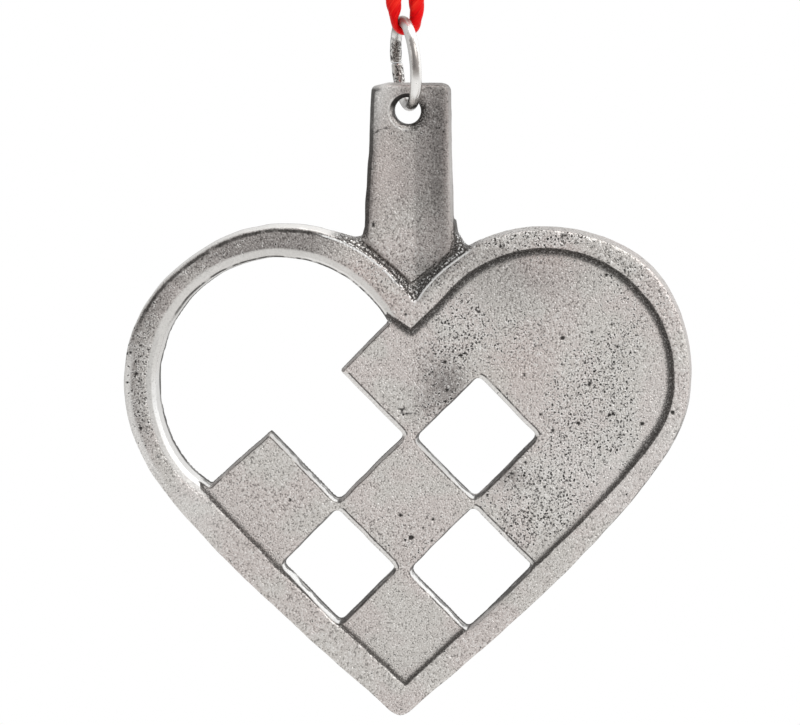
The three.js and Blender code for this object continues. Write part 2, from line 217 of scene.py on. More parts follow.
def joinedTubes(name, tubes):
    points, faces, start = [], [], 0
    for tube in tubes:
        points.append(tube[0])
        faces += [tuple(i + start for i in face) for face in tube[1]]
        start += len(tube[0])
    made = meshObject(name, np.vstack(points) * mm, faces)
    for column, label in ((2, "along"), (3, "turned"), (4, "valley")):
        storeAttribute(made, label, np.concatenate([tube[column] for tube in tubes]))
    return made


def makeCord():
    line = smoothLine(cordLook["points"], cordLook["step"])
    radius = cordLook["diameter"] / 2
    return joinedTubes("cord_loop", [cordTube(line, np.full(len(line), radius))]), line


cordLoop, cordLine = makeCord()
print("ornament: cord loop,", round(lengthAlong(cordLine)[-1], 1), "mm")

# Knot: both ends of the cord tied together in one overhand knot, with two cut ends above it

knotLook = {
    "height": 4.2,
    "wrapRadius": 1.32,
    "strandRadius": 0.52,
    "endRadius": 0.6,
    "tail": 3.0,
    "turns": 1.45,
    "wrapPoints": 26,
    "fray": 0.1,
}


def knotStrand(offset, phase):
    look = knotLook
    start = [(offset * 0.62, 0.0, -cordLook["knotGap"]), (offset * 0.55, 0.0, 0.5)]
    wraps = []
    for t in np.linspace(0, 1, look["wrapPoints"]):
        angle = phase + t * look["turns"] * 2 * math.pi
        radius = look["wrapRadius"] * min(1.0, 0.55 + 4 * t, 0.55 + 4 * (1 - t))
        rise = 0.75 + t * (look["height"] - 1.7) + offset * 0.26
        wraps.append((radius * math.cos(angle), radius * math.sin(angle), rise))
    top = look["height"] + look["tail"]
    end = [
        (offset * 0.45, 0.25 * offset, look["height"] - 0.2),
        (offset * 0.8, 0.3 * offset, look["height"] + 1.0),
        (offset * 1.25, 0.35 * offset, top),
    ]
    return start + wraps + end


def makeKnot():
    tubes = []
    for offset, phase in ((-1, math.pi), (1, 0.0)):
        line = smoothLine(knotStrand(offset, phase), cordLook["step"])
        share = np.clip((line[:, 2] - knotLook["height"]) / 1.0, 0, 1)
        radii = knotLook["strandRadius"] + (knotLook["endRadius"] - knotLook["strandRadius"]) * share
        radii[-3:] *= 1 + knotLook["fray"]
        tubes.append(cordTube(line, radii, phase))
    return joinedTubes("overhand_knot", tubes)


overhandKnot = makeKnot()
print("ornament: knot tied")

# Ring: one turn of round wire, its two cut ends butted together at the back

ringLook = {
    "centre": (0.17, 0.0, -55.375),
    "meanRadius": 3.675,
    "wireRadius": 0.5,
    "turn": 16.5,
    "lean": 5.0,
    "seam": 0.07,
    "seamAngle": 179.0,
    "steps": 220,
    "sides": 32,
    "endRound": 0.07,
    "pinch": (0.025, 0.9, 0.35),  # where pliers gripped the wire: depth, how far from the end, how wide
    "endsMiss": (0.03, 2.2),  # how far, and over what length
}


def makeRing():
    look = ringLook
    opening = look["seam"] / look["meanRadius"]
    share = np.linspace(0, 1, look["steps"])
    angle = math.radians(look["seamAngle"]) + opening / 2 + share * (2 * math.pi - opening)
    fromEnd = np.minimum(share, 1 - share) * 2 * math.pi * look["meanRadius"]
    narrowing = look["endRound"] * np.clip(1 - fromEnd / look["endRound"], 0, 1) ** 2
    depth, middle, width = look["pinch"]
    pinch = depth * np.exp(-((fromEnd - middle) / width) ** 2)
    radii = look["wireRadius"] - narrowing
    around = np.arange(look["sides"]) / look["sides"] * 2 * math.pi
    across = radii[:, None] - pinch[:, None] * np.cos(around * 2)
    reach = look["meanRadius"] + across * np.cos(around)
    miss, length = look["endsMiss"]
    step = miss * np.where(share < 0.5, 1, -1) * np.exp(-((fromEnd / length) ** 2))
    points = np.stack(
        [
            across * np.sin(around) + step[:, None],
            -reach * np.cos(angle)[:, None],
            reach * np.sin(angle)[:, None],
        ],
        axis=-1,
    )
    count, ring = points.shape[:2]
    made = meshObject("wire_ring", points.reshape(-1, 3) * mm, tubeFaces(count, ring, turned=True))
    leaned = Matrix.Rotation(math.radians(-look["lean"]), 4, "Y")
    turned = Matrix.Rotation(math.radians(look["turn"]), 4, "Z")
    made.data.transform(Matrix.Translation(Vector(look["centre"]) * mm) @ (leaned @ turned))
    storeAttribute(made, "fromSeam", np.repeat(fromEnd, ring))
    degrees = (np.degrees(angle) + 180) % 360 - 180
    # Where the wire carries its painted dark reflection.
    dullAndShade = between(degrees, -24, -8, 30, 50)
    dullAndShade = np.maximum(dullAndShade, eased(np.abs(degrees), 125, 145))
    storeAttribute(made, "reflectionZone", np.repeat(dullAndShade, ring))
    storeAttribute(made, "underCord", np.repeat(between(degrees, 50, 68, 118, 135), ring))
    return made


wireRing = makeRing()
print("ornament: ring bent")

# Casting: outlines in the plate's own frame, u across and v up from the middle of the lattice

castingLook = {
    "place": (0.26, 0.0, -93.65),
    "backY": 1.15,
    "rimY": -1.65,
    "fieldY": -1.1,
    "tabY": -1.15,
    "grooveY": -0.8,
    "wallDraft": 0.22,
    "rimRound": 0.14,
    "windowRound": 0.2,
    "tabRound": 0.34,
    "backRound": 0.2,
    "fillet": 0.22,
    "stepDraft": 0.4,
    "openingRound": 0.1,
    "holeRound": 0.12,
    "bevelInset": 0.2,
    "fineReach": 0.42,  # how near an edge the mesh is made finer
    "bevelWidth": 0.75,
    "bevelDepth": 0.32,
    "mapPitch": 0.1,
    "voxel": 0.25,
    "leftLobe": (-11.0, 10.2, 14.05, 205, -0.28, 124, 20),  # u, v, radius, end, swell, where, how wide
    "rightLobe": (11.85, 10.95, 13.1, -15, 0.5, 46, 24),
    "heartPoint": (-0.5, -19.7),
    "heartPointCut": 1.3,
    "leftFlank": (-11.6, -9.85, 42.3),
    "rightFlank": (6.0, -14.01, 42.0),
    "fieldLobe": (12.2, 11.0, 11.1, -12, 132),
    "fieldCleft": (0.48, 14.94),
    "fieldPoint": (0.0, -16.25),
    "fieldRightFlank": (10.85, -6.04),
    "fieldRightBend": (22.2, 4.65),
    "fieldLeftFlank": (-11.2, -6.04),
    "fieldLeftBend": (-14.75, -2.45),
    "fieldLeftEnd": (-18.0, 0.92),
    "squarePitch": 8.15,
    "neckWidth": 0.95,
    "windowCorner": 0.55,
    "windows": [  # cell p, cell q, shift p, shift q, size p, size q
        (1, 0, 0.08, -0.44, 7.75, 7.3),
        (0, -1, -0.3, -0.15, 7.9, 7.25),
        (-1, 0, -0.3, 0.0, 6.9, 7.25),
    ],
    "openingLobe": (-11.09, 10.34, 10.78, 235.5, 0.33, 222, 28),
    "openingCorner": 0.6,
    "tabTop": (-3.2, 3.85, 36.6),
    "tabBase": (-3.85, 4.2, 22.6),
    "tabPoint": (0.45, 18.85),
    "tabShoulder": (3.95, 21.75),
    "tabCorners": (0.45, 0.9),
    "tabRootDepth": 2.4,
    "rootRight": [(5.6, 22.0), (4.95, 22.7), (4.45, 23.5), (4.25, 24.6)],
    "rootLeft": [
        (-3.85, 23.7), (-3.98, 23.15), (-4.6, 23.02), (-5.6, 23.3), (-6.5, 23.5), (-6.7, 22.8), (-5.05, 21.85),
    ],
    "hole": (0.09, 34.17, 1.18),
    "holeChamfer": 0.3,
}


def arcPoints(lobe, start, end):
    count = max(4, int(abs(end - start) / 2.5))
    angles = np.linspace(start, end, count)
    swell, middle, width = lobe[4:] if len(lobe) == 7 else (0, 0, 1)
    reach = lobe[2] + swell * np.exp(-(((angles - middle) / width) ** 2))
    us, vs = lobe[0] + reach * np.cos(np.radians(angles)), lobe[1] + reach * np.sin(np.radians(angles))
    return list(zip(us.tolist(), vs.tolist()))


def bendPoints(start, control, end, count=14):
    start, control, end = (np.array(p, float) for p in (start, control, end))
    return [tuple((1 - t) ** 2 * start + 2 * t * (1 - t) * control + t * t * end) for t in np.linspace(0, 1, count)]


def cornerPoints(corner, before, after, radius):
    corner, before, after = (np.array(p, float) for p in (corner, before, after))
    start = corner + (before - corner) / np.linalg.norm(before - corner) * radius
    end = corner + (after - corner) / np.linalg.norm(after - corner) * radius
    return bendPoints(start, corner, end, 7)


def latticePoint(p, q):
    return ((p - q) / math.sqrt(2), (p + q) / math.sqrt(2))


def angleOn(lobe, point):
    return math.degrees(math.atan2(point[1] - lobe[1], point[0] - lobe[0]))


def flankBend(lobe, flank, side):
    angle = math.radians(lobe[3])
    slope = math.radians(flank[2])
    start = np.array((lobe[0] + lobe[2] * math.cos(angle), lobe[1] + lobe[2] * math.sin(angle)))
    leave = np.array((-side * math.sin(angle), side * math.cos(angle)))
    arrive = np.array((-side * math.cos(slope), math.sin(slope)))
    gap = np.array(flank[:2]) - start
    travel = (gap[0] * arrive[1] - gap[1] * arrive[0]) / (leave[0] * arrive[1] - leave[1] * arrive[0])
    return start, start + leave * travel


def heartOutline():
    look = castingLook
    left, right = look["leftLobe"], look["rightLobe"]
    apart = math.hypot(right[0] - left[0], right[1] - left[1])
    along = (left[2] ** 2 - right[2] ** 2 + apart ** 2) / (2 * apart)
    up = math.sqrt(left[2] ** 2 - along ** 2)
    across, rise = (right[0] - left[0]) / apart, (right[1] - left[1]) / apart
    cleft = (left[0] + along * across - up * rise, left[1] + along * rise + up * across)
    leftFlank, rightFlank = look["leftFlank"], look["rightFlank"]
    rightStart, rightBend = flankBend(right, rightFlank, -1)
    leftEnd, leftBend = flankBend(left, leftFlank, 1)
    return (
        cornerPoints(look["heartPoint"], leftFlank[:2], rightFlank[:2], look["heartPointCut"])
        + bendPoints(rightFlank[:2], rightBend, rightStart)
        + arcPoints(right, right[3], angleOn(right, cleft))
        + arcPoints(left, angleOn(left, cleft), left[3])
        + bendPoints(leftEnd, leftBend, leftFlank[:2])
    )


def windowOutline(window):
    pitch = castingLook["squarePitch"]
    p, q = window[0] * pitch + window[2], window[1] * pitch + window[3]
    halfP, halfQ = window[4] / 2, window[5] / 2
    corners = [
        latticePoint(p + signP * halfP, q + signQ * halfQ)
        for signP, signQ in ((-1, -1), (1, -1), (1, 1), (-1, 1))
    ]
    outline = []
    for i, corner in enumerate(corners):
        outline += cornerPoints(corner, corners[i - 1], corners[(i + 1) % 4], castingLook["windowCorner"])
    return outline


def crossingPoint(lobe, q):
    centreP, centreQ = (lobe[0] + lobe[1]) / math.sqrt(2), (lobe[1] - lobe[0]) / math.sqrt(2)
    return latticePoint(centreP + math.sqrt(lobe[2] ** 2 - (q - centreQ) ** 2), q)


def openingOutline():
    look = castingLook
    pitch, neck, lobe = look["squarePitch"], look["neckWidth"], look["openingLobe"]
    right, left, low = pitch / 2 - neck / 2 + 0.2, -pitch / 2 - 0.32, pitch / 2 + neck / 2 - 0.43
    topReach, leftReach = pitch * 1.5 - 0.03, pitch * 1.5 + 0.42
    leftTop, bottom = latticePoint(left, leftReach), latticePoint(left, low)
    inner, topLeft = latticePoint(right, low), latticePoint(right, topReach)
    atCleft = crossingPoint(lobe, topReach)
    return (
        [leftTop]
        + cornerPoints(bottom, leftTop, inner, look["openingCorner"])
        + cornerPoints(inner, bottom, topLeft, look["openingCorner"])
        + [topLeft]
        + arcPoints(lobe, angleOn(lobe, atCleft), lobe[3])
    )


def fieldOutline():
    look = castingLook
    lobe, cleft = look["fieldLobe"], look["fieldCleft"]
    u, v, reach = look["openingLobe"][:3]
    rightArc = arcPoints(lobe, lobe[3], lobe[4])
    return (
        [look["fieldPoint"]]
        + bendPoints(look["fieldRightFlank"], look["fieldRightBend"], rightArc[0])
        + rightArc[1:]
        + [
            cleft,
            (cleft[0] - reach * 0.19, cleft[1] + reach * 0.13),
            (u + reach * 0.7, v + reach * 0.47),
            (u - reach * 0.2, v - reach * 0.22),
            (u - reach * 0.67, v - reach * 0.64),
        ]
        + bendPoints(look["fieldLeftEnd"], look["fieldLeftBend"], look["fieldLeftFlank"])
    )


def tabOutline():
    look = castingLook
    left, right, top = look["tabTop"]
    baseLeft, baseRight, shoulder = look["tabBase"]
    return (
        [look["tabPoint"], look["tabShoulder"], (baseRight, shoulder)]
        + cornerPoints((right, top), (baseRight, shoulder), (left, top), look["tabCorners"][1])
        + [(left + 1.5, top)]
        + cornerPoints((left, top - 0.32), (left + 1.5, top), (baseLeft, shoulder), look["tabCorners"][0])
        + [(baseLeft, shoulder)]
    )


def rootOutline():
    look = castingLook
    point = look["tabPoint"]
    return [(point[0], point[1] - look["tabRootDepth"]), *look["rootRight"], *look["rootLeft"]]


# Maps over the plate: signed distances to each outline, negative inside it, and the cast relief

mapRange = {"u": (-25.8, 25.6), "v": (-20.0, 37.4)}
mapU = np.arange(*mapRange["u"], castingLook["mapPitch"])
mapV = np.arange(*mapRange["v"], castingLook["mapPitch"])
gridU, gridV = np.meshgrid(mapU, mapV, indexing="ij")
gridU, gridV = gridU.astype(np.float32), gridV.astype(np.float32)


def distanceMap(outline):
    nearest = np.full(gridU.shape, 1e9, np.float32)
    inside = np.zeros(gridU.shape, bool)
    points = np.array(outline, np.float32)
    for start, end in zip(points, np.roll(points, -1, axis=0)):
        run = end - start
        if abs(run[0]) + abs(run[1]) < 1e-5:
            continue
        offU, offV = gridU - start[0], gridV - start[1]
        share = np.clip((offU * run[0] + offV * run[1]) / (run @ run), 0, 1)
        nearest = np.minimum(nearest, (offU - share * run[0]) ** 2 + (offV - share * run[1]) ** 2)
        if run[1] != 0:
            passes = (start[1] > gridV) != (end[1] > gridV)
            inside ^= passes & (offU < run[0] * offV / run[1])
    return np.where(inside, -1, 1) * np.sqrt(nearest)


def blended(values, iu, iv, fu, fv):
    low = values[iu, iv] * (1 - fu) + values[iu + 1, iv] * fu
    high = values[iu, iv + 1] * (1 - fu) + values[iu + 1, iv + 1] * fu
    return low * (1 - fv) + high * fv


def softNoise(u, v, size, seed):
    cells = np.random.default_rng(seed).uniform(-1, 1, (128, 128))
    gu, gv = u / size + 64.37, v / size + 64.71
    iu, iv = np.floor(gu).astype(int), np.floor(gv).astype(int)
    fu, fv = gu - iu, gv - iv
    fu, fv = fu * fu * (3 - 2 * fu), fv * fv * (3 - 2 * fv)
    return blended(cells, iu % 127, iv % 127, fu, fv)


reliefLook = {
    "edgeWander": ((5.0, 0.07), (1.6, 0.035), (0.7, 0.015)),  # wavelength and height of the outlines' waves
    "faceWave": ((7.0, 0.05), (2.2, 0.022), (0.8, 0.008)),
    "rimFall": 0.16,  # how much the broad left border drops towards its outer edge
    "tabHollow": 0.14,
    "pitSeed": 11,
    "pitDepth": 0.1,
    "pitGroups": [  # middle u, middle v, spread u, spread v, how many
        (16.5, 8.0, 2.8, 3.6, 46),
        (12.5, 0.5, 2.4, 2.2, 20),
        (10.5, 23.2, 3.2, 0.5, 12),
        (4.8, 15.2, 1.6, 2.0, 14),
        (8.0, 14.0, 7.0, 6.0, 24),
        (1.0, -3.5, 4.0, 4.0, 16),
        (9.0, -1.0, 3.5, 3.5, 14),
        (19.0, 19.5, 3.5, 3.0, 8),
        (-23.0, 10.0, 1.0, 3.0, 14),
        (-12.0, -1.5, 5.0, 5.0, 10),
        (0.5, 27.0, 2.5, 5.0, 8),
    ],
    "creases": [  # fine cracks, each a row of u, v
        [(-0.75, 8.15), (-0.4, 7.95), (-0.3, 7.5), (0.15, 7.75), (0.6, 7.6), (0.95, 7.75)],
        [(-0.35, 7.9), (-0.1, 8.2)],
        [(-3.3, 31.7), (-2.9, 32.15), (-2.3, 32.55), (-1.4, 32.75)],
        [(1.5, 33.1), (2.2, 32.6), (2.9, 32.7)],
    ],
    "creaseWidth": 0.09,
    "largePits": [(0.45, -3.3, 0.3), (13.7, 14.4, 0.26), (-0.5, -1.3, 0.22), (23.3, 8.0, 0.24), (20.7, 6.9, 0.24)],
}


def wandered(distance, seed):
    total = distance.copy()
    for row, (size, height) in enumerate(reliefLook["edgeWander"]):
        total += softNoise(gridU, gridV, size, seed + row) * height
    return total


def pitPlaces():
    rng = np.random.default_rng(reliefLook["pitSeed"])
    places = list(reliefLook["largePits"])
    for u, v, spreadU, spreadV, count in reliefLook["pitGroups"]:
        for _ in range(count):
            places.append((rng.normal(u, spreadU), rng.normal(v, spreadV), rng.uniform(0.1, 0.2)))
    return places


def pitMap():
    depth = np.zeros(gridU.shape, np.float32)
    for u, v, radius in pitPlaces():
        near = np.hypot(gridU - u, (gridV - v) * 1.15) / radius
        depth = np.maximum(depth, np.clip(1 - near ** 2, 0, 1) * reliefLook["pitDepth"] * min(1, radius / 0.2))
    for crease in reliefLook["creases"]:
        there = np.array(crease + crease[-2:0:-1], np.float32)
        near = np.abs(distanceMap(there)) / reliefLook["creaseWidth"]
        depth = np.maximum(depth, np.clip(1 - near ** 2, 0, 1) * reliefLook["pitDepth"] * 0.7)
    return depth


def densityMap():
    density = np.zeros(gridU.shape, np.float32)
    for u, v, spreadU, spreadV, count in reliefLook["pitGroups"]:
        weight = count / (spreadU * spreadV)
        density += weight * np.exp(-((gridU - u) / spreadU) ** 2 / 2 - ((gridV - v) / spreadV) ** 2 / 2)
    return np.clip(density / 3.0, 0, 1)


def makeMaps():
    look = castingLook
    windows = [distanceMap(windowOutline(w)) for w in look["windows"]]
    holeU, holeV, holeRadius = look["hole"]
    maps = {
        "heart": wandered(distanceMap(heartOutline()), 20),
        "field": wandered(distanceMap(fieldOutline()), 30),
        "opening": wandered(distanceMap(openingOutline()), 40),
        "windows": wandered(np.minimum.reduce(windows), 50),
        "tab": wandered(distanceMap(tabOutline()), 60),
        "root": wandered(distanceMap(rootOutline()), 70),
        "hole": np.hypot(gridU - holeU, gridV - holeV) - holeRadius,
        "pits": pitMap(),
        "density": densityMap(),
    }
    maps["cells"] = np.minimum(maps["windows"], maps["opening"])
    wave = sum(softNoise(gridU, gridV, size, 80 + i) * h for i, (size, h) in enumerate(reliefLook["faceWave"]))
    stepDown = eased(-maps["field"], -look["stepDraft"] / 2, look["stepDraft"] / 2)
    leftSide = eased(-gridU, 1.0, 5.0) * eased(gridV, -4.0, 2.0)
    fall = reliefLook["rimFall"] * leftSide * eased(-maps["heart"], 2.4, 0.0)
    maps["front"] = look["rimY"] + (look["fieldY"] - look["rimY"]) * stepDown + fall + wave + maps["pits"]
    hollow = reliefLook["tabHollow"] * np.exp(-(((gridU - 2.6) / 0.9) ** 2))
    leftRound = 0.3 * eased(-gridU, 2.6, 4.2)
    maps["tabFront"] = look["tabY"] + hollow + leftRound + wave * 1.3 + maps["pits"]
    return {name: np.ascontiguousarray(values, np.float32) for name, values in maps.items()}


plateMaps = makeMaps()
print("ornament: plate maps,", gridU.shape[0], "by", gridU.shape[1])


def sampled(name, u, v):
    pitch = castingLook["mapPitch"]
    gu = np.clip((u - mapU[0]) / pitch, 0, len(mapU) - 1.001)
    gv = np.clip((v - mapV[0]) / pitch, 0, len(mapV) - 1.001)
    iu, iv = gu.astype(int), gv.astype(int)
    return blended(plateMaps[name], iu, iv, gu - iu, gv - iv)


# The casting as one field over space, negative in the metal


def roundedMax(a, b, radius):
    meet = np.clip(radius - np.abs(a - b), 0, None) / radius
    return np.maximum(a, b) + meet * meet * radius / 4


def castingField(u, y, v):
    look = castingLook
    names = ("heart", "opening", "windows", "tab", "root", "hole", "front", "tabFront")
    at = {name: sampled(name, u, v) for name in names}
    depth = look["backY"] - y
    taper = look["wallDraft"] * depth / (look["backY"] - look["rimY"])
    heart = roundedMax(at["heart"] + taper, at["front"] - y, look["rimRound"])
    tab = roundedMax(at["tab"] + taper, at["tabFront"] - y, look["tabRound"])
    root = roundedMax(at["root"] + taper, look["grooveY"] - y, look["windowRound"])
    solid = -roundedMax(-heart, -root, look["fillet"])
    solid = -roundedMax(-solid, -tab, look["fillet"])
    solid = roundedMax(solid, -depth, look["backRound"])
    bevelTop = look["rimY"] + look["bevelDepth"]
    slope = look["bevelWidth"] / look["bevelDepth"]
    bevel = (at["opening"] - look["wallDraft"] - look["bevelInset"] - slope * (bevelTop - y)) / math.hypot(1, slope)
    bored = np.minimum(at["opening"] - taper, bevel)
    solid = roundedMax(solid, -bored, look["openingRound"])
    solid = roundedMax(solid, -(at["windows"] - taper), look["windowRound"])
    chamfer = np.maximum(y - look["backY"], look["tabY"] - y) + look["holeChamfer"]
    hole = at["hole"] - np.clip(chamfer, 0, None)
    return roundedMax(solid, -hole, look["holeRound"])


def netSurface(pitch):
    us = np.arange(mapRange["u"][0] + 0.3, mapRange["u"][1] - 0.3, pitch)
    ys = np.arange(castingLook["rimY"] - 0.6, castingLook["backY"] + 0.6, pitch)
    vs = np.arange(mapRange["v"][0] + 0.3, mapRange["v"][1] - 0.3, pitch)
    u, y, v = np.meshgrid(us, ys, vs, indexing="ij")
    values = castingField(u, y, v)
    inside = values < 0
    shape = tuple(n - 1 for n in values.shape)
    total = np.zeros(shape + (3,))
    hits = np.zeros(shape)
    corners = [(i, j, k) for i in (0, 1) for j in (0, 1) for k in (0, 1)]

    def corner(array, c):
        return array[c[0]:c[0] + shape[0], c[1]:c[1] + shape[1], c[2]:c[2] + shape[2]]

    for a in corners:
        for axis in range(3):
            if a[axis] == 1:
                continue
            b = tuple(1 if i == axis else a[i] for i in range(3))
            first, last = corner(values, a), corner(values, b)
            crossed = corner(inside, a) != corner(inside, b)
            share = np.where(crossed, first / np.where(crossed, first - last, 1), 0)
            for i in range(3):
                total[..., i] += crossed * (a[i] + (share if i == axis else 0))
            hits += crossed
    used = hits > 0
    number = np.full(shape, -1)
    number[used] = np.arange(used.sum())
    cell = np.argwhere(used)
    points = (cell + total[used] / hits[used][:, None]) * pitch + np.array((us[0], ys[0], vs[0]))
    quads = []
    for axis in range(3):
        first = [slice(None)] * 3
        last = [slice(None)] * 3
        first[axis], last[axis] = slice(None, -1), slice(1, None)
        change = inside[tuple(first)].astype(int) - inside[tuple(last)].astype(int)
        one, two = [i for i in range(3) if i != axis]
        spots = np.argwhere(change != 0)
        spots = spots[(spots[:, one] > 0) & (spots[:, two] > 0)]
        spots = spots[(spots[:, one] < shape[one]) & (spots[:, two] < shape[two])]
        ring = []
        for back1, back2 in ((1, 1), (0, 1), (0, 0), (1, 0)):
            at = spots.copy()
            at[:, one] -= back1
            at[:, two] -= back2
            ring.append(number[tuple(at.T)])
        ring = np.stack(ring, axis=1)
        outward = change[tuple(spots.T)] > 0
        flip = outward if axis != 1 else ~outward
        ring[~flip] = ring[~flip][:, ::-1]
        quads.append(ring)
    return points, np.vstack(quads)


def gradientAt(points, reach=0.02):
    slopes = []
    for axis in range(3):
        shift = np.zeros(3)
        shift[axis] = reach
        ahead = castingField(*(points + shift).T)
        behind = castingField(*(points - shift).T)
        slopes.append((ahead - behind) / (2 * reach))
    return np.stack(slopes, axis=1)


def settled(points, rounds=3):
    for _ in range(rounds):
        slope = gradientAt(points)
        size = np.maximum((slope ** 2).sum(axis=1), 0.2)
        move = -(castingField(*points.T) / size)[:, None] * slope
        points = points + np.clip(move, -0.12, 0.12)
    return points


def featureNear(points):
    u, y, v = points.T
    front = y < castingLook["grooveY"] + 0.3
    names = ("heart", "windows", "opening", "field", "tab", "hole")
    edges = np.minimum.reduce([np.abs(sampled(name, u, v)) for name in names])
    return front & ((edges < castingLook["fineReach"]) | (sampled("pits", u, v) > 0.001))


def makeCasting():
    points, quads = netSurface(castingLook["voxel"])
    points = settled(points, 2)
    shape = meshObject("casting_draft", points, quads)
    bm = bmesh.new()
    bm.from_mesh(shape.data)
    bpy.data.meshes.remove(shape.data)
    near = featureNear(points)
    bm.verts.ensure_lookup_table()
    marked = [e for e in bm.edges if near[e.verts[0].index] and near[e.verts[1].index]]
    bmesh.ops.subdivide_edges(bm, edges=marked, cuts=1, use_grid_fill=True)
    bmesh.ops.triangulate(bm, faces=bm.faces[:])
    fine = settled(np.array([v.co for v in bm.verts]), 3)
    place = np.array(castingLook["place"])
    for vertex, point in zip(bm.verts, (fine + place) * mm):
        vertex.co = point
    bmesh.ops.recalc_face_normals(bm, faces=bm.faces[:])
    mesh = bpy.data.meshes.new("pewter_heart")
    bm.to_mesh(mesh)
    bm.free()
    mesh.polygons.foreach_set("use_smooth", np.ones(len(mesh.polygons), bool))
    made = bpy.data.objects.new("pewter_heart", mesh)
    scene.collection.objects.link(made)
    u, y, v = fine.T
    for name in ("heart", "field", "opening", "windows", "cells", "tab", "hole", "pits", "density"):
        storeAttribute(made, name + "Edge", sampled(name, u, v))
    storeAttribute(made, "heightV", v)
    storeAttribute(made, "depthY", y)
    reach = 0.15
    outU = sampled("cells", u + reach, v) - sampled("cells", u - reach, v)
    outV = sampled("cells", u, v + reach) - sampled("cells", u, v - reach)
    size = np.maximum(np.hypot(outU, outV), 1e-3) * math.sqrt(2)
    storeAttribute(made, "cellsP", (outU + outV) / size)
    storeAttribute(made, "cellsQ", (outV - outU) / size)
    return made


pewterHeart = makeCasting()
print("ornament: casting,", len(pewterHeart.data.polygons), "triangles")

# Shader building


class Term:
    # A socket that plain arithmetic turns into math nodes
    def __init__(self, socket):
        self.socket = socket

    def other(self, output):
        return Term(self.socket.node.outputs[output])

    def __add__(self, value):
        return calc("ADD", self, value)

    def __radd__(self, value):
        return calc("ADD", value, self)

    def __sub__(self, value):
        return calc("SUBTRACT", self, value)

    def __rsub__(self, value):
        return calc("SUBTRACT", value, self)

    def __mul__(self, value):
        return calc("MULTIPLY", self, value)

    def __truediv__(self, value):
        return calc("DIVIDE", self, value)

    def __rtruediv__(self, value):
        return calc("DIVIDE", value, self)

    def __gt__(self, value):
        return calc("GREATER_THAN", self, value)


def feed(node, inputs):
    for key, value in inputs.items():
        if isinstance(value, Term):
            node.id_data.links.new(value.socket, node.inputs[key])
        else:
            node.inputs[key].default_value = value


def addNode(tree, kind, inputs=None, output=0, **settings):
    node = tree.nodes.new(kind)
    for key, value in settings.items():
        setattr(node, key, value)
    feed(node, inputs or {})
    return Term(node.outputs[output])


def calc(operation, first, second):
    term = first if isinstance(first, Term) else second
    return addNode(term.socket.id_data, "ShaderNodeMath", {0: first, 1: second}, operation=operation)


def most(first, *others):
    for other in others:
        first = calc("MAXIMUM", first, other)
    return first


def clamped(term):
    term.socket.node.use_clamp = True
    return term


def remap(term, low, high, toLow=0.0, toHigh=1.0, kind="SMOOTHSTEP"):
    values = {"Value": term, "From Min": low, "From Max": high, "To Min": toLow, "To Max": toHigh}
    return addNode(term.socket.id_data, "ShaderNodeMapRange", values, interpolation_type=kind)


def band(term, low, full, fade, high):
    return remap(term, low, full) * remap(term, high, fade)


def mixed(factor, first, second):
    values = {0: factor, 6: first, 7: second}
    return addNode(factor.socket.id_data, "ShaderNodeMix", values, 2, data_type="RGBA")


def noiseAt(vector, scale, detail=2.0, roughness=0.5, distortion=0.0, output=0):
    values = {"Vector": vector, "Scale": scale, "Detail": detail, "Roughness": roughness, "Distortion": distortion}
    return addNode(vector.socket.id_data, "ShaderNodeTexNoise", values, output)


def vectorMath(operation, first, second):
    return addNode(first.socket.id_data, "ShaderNodeVectorMath", {0: first, 1: second}, operation=operation)


def attributeOf(tree, name):
    return addNode(tree, "ShaderNodeAttribute", None, "Fac", attribute_name=name)


def termsOf(node):
    return {socket.name: Term(socket) for socket in node.outputs}


def newGroup(name, inputs, outputs):
    tree = bpy.data.node_groups.new(name, "ShaderNodeTree")
    for label, value in inputs.items():
        kind = "NodeSocketVector" if value is None else "NodeSocketFloat"
        socket = tree.interface.new_socket(label, in_out="INPUT", socket_type=kind)
        if value is not None:
            socket.default_value = value
    for label in outputs:
        tree.interface.new_socket(label, in_out="OUTPUT", socket_type="NodeSocketFloat")
    return tree, termsOf(tree.nodes.new("NodeGroupInput")), tree.nodes.new("NodeGroupOutput")


def placeGroup(tree, group, inputs):
    node = tree.nodes.new("ShaderNodeGroup")
    node.node_tree = group
    feed(node, inputs)
    return termsOf(node)


def newMaterial(name, settings):
    material = bpy.data.materials.new(name)
    material.use_nodes = True
    tree = material.node_tree
    tree.nodes.clear()
    shader = addNode(tree, "ShaderNodeBsdfPrincipled", settings)
    feed(tree.nodes.new("ShaderNodeOutputMaterial"), {"Surface": shader})
    return material, tree, shader.socket.node


def inMillimetres(tree):
    place = addNode(tree, "ShaderNodeTexCoord", None, "Object")
    return vectorMath("MULTIPLY", place, (1 / mm, 1 / mm, 1 / mm))


def wear(obj, material):
    obj.data.materials.clear()
    obj.data.materials.append(material)


# Metal grain, for the casting and the ring: a sandy skin with scattered pinholes


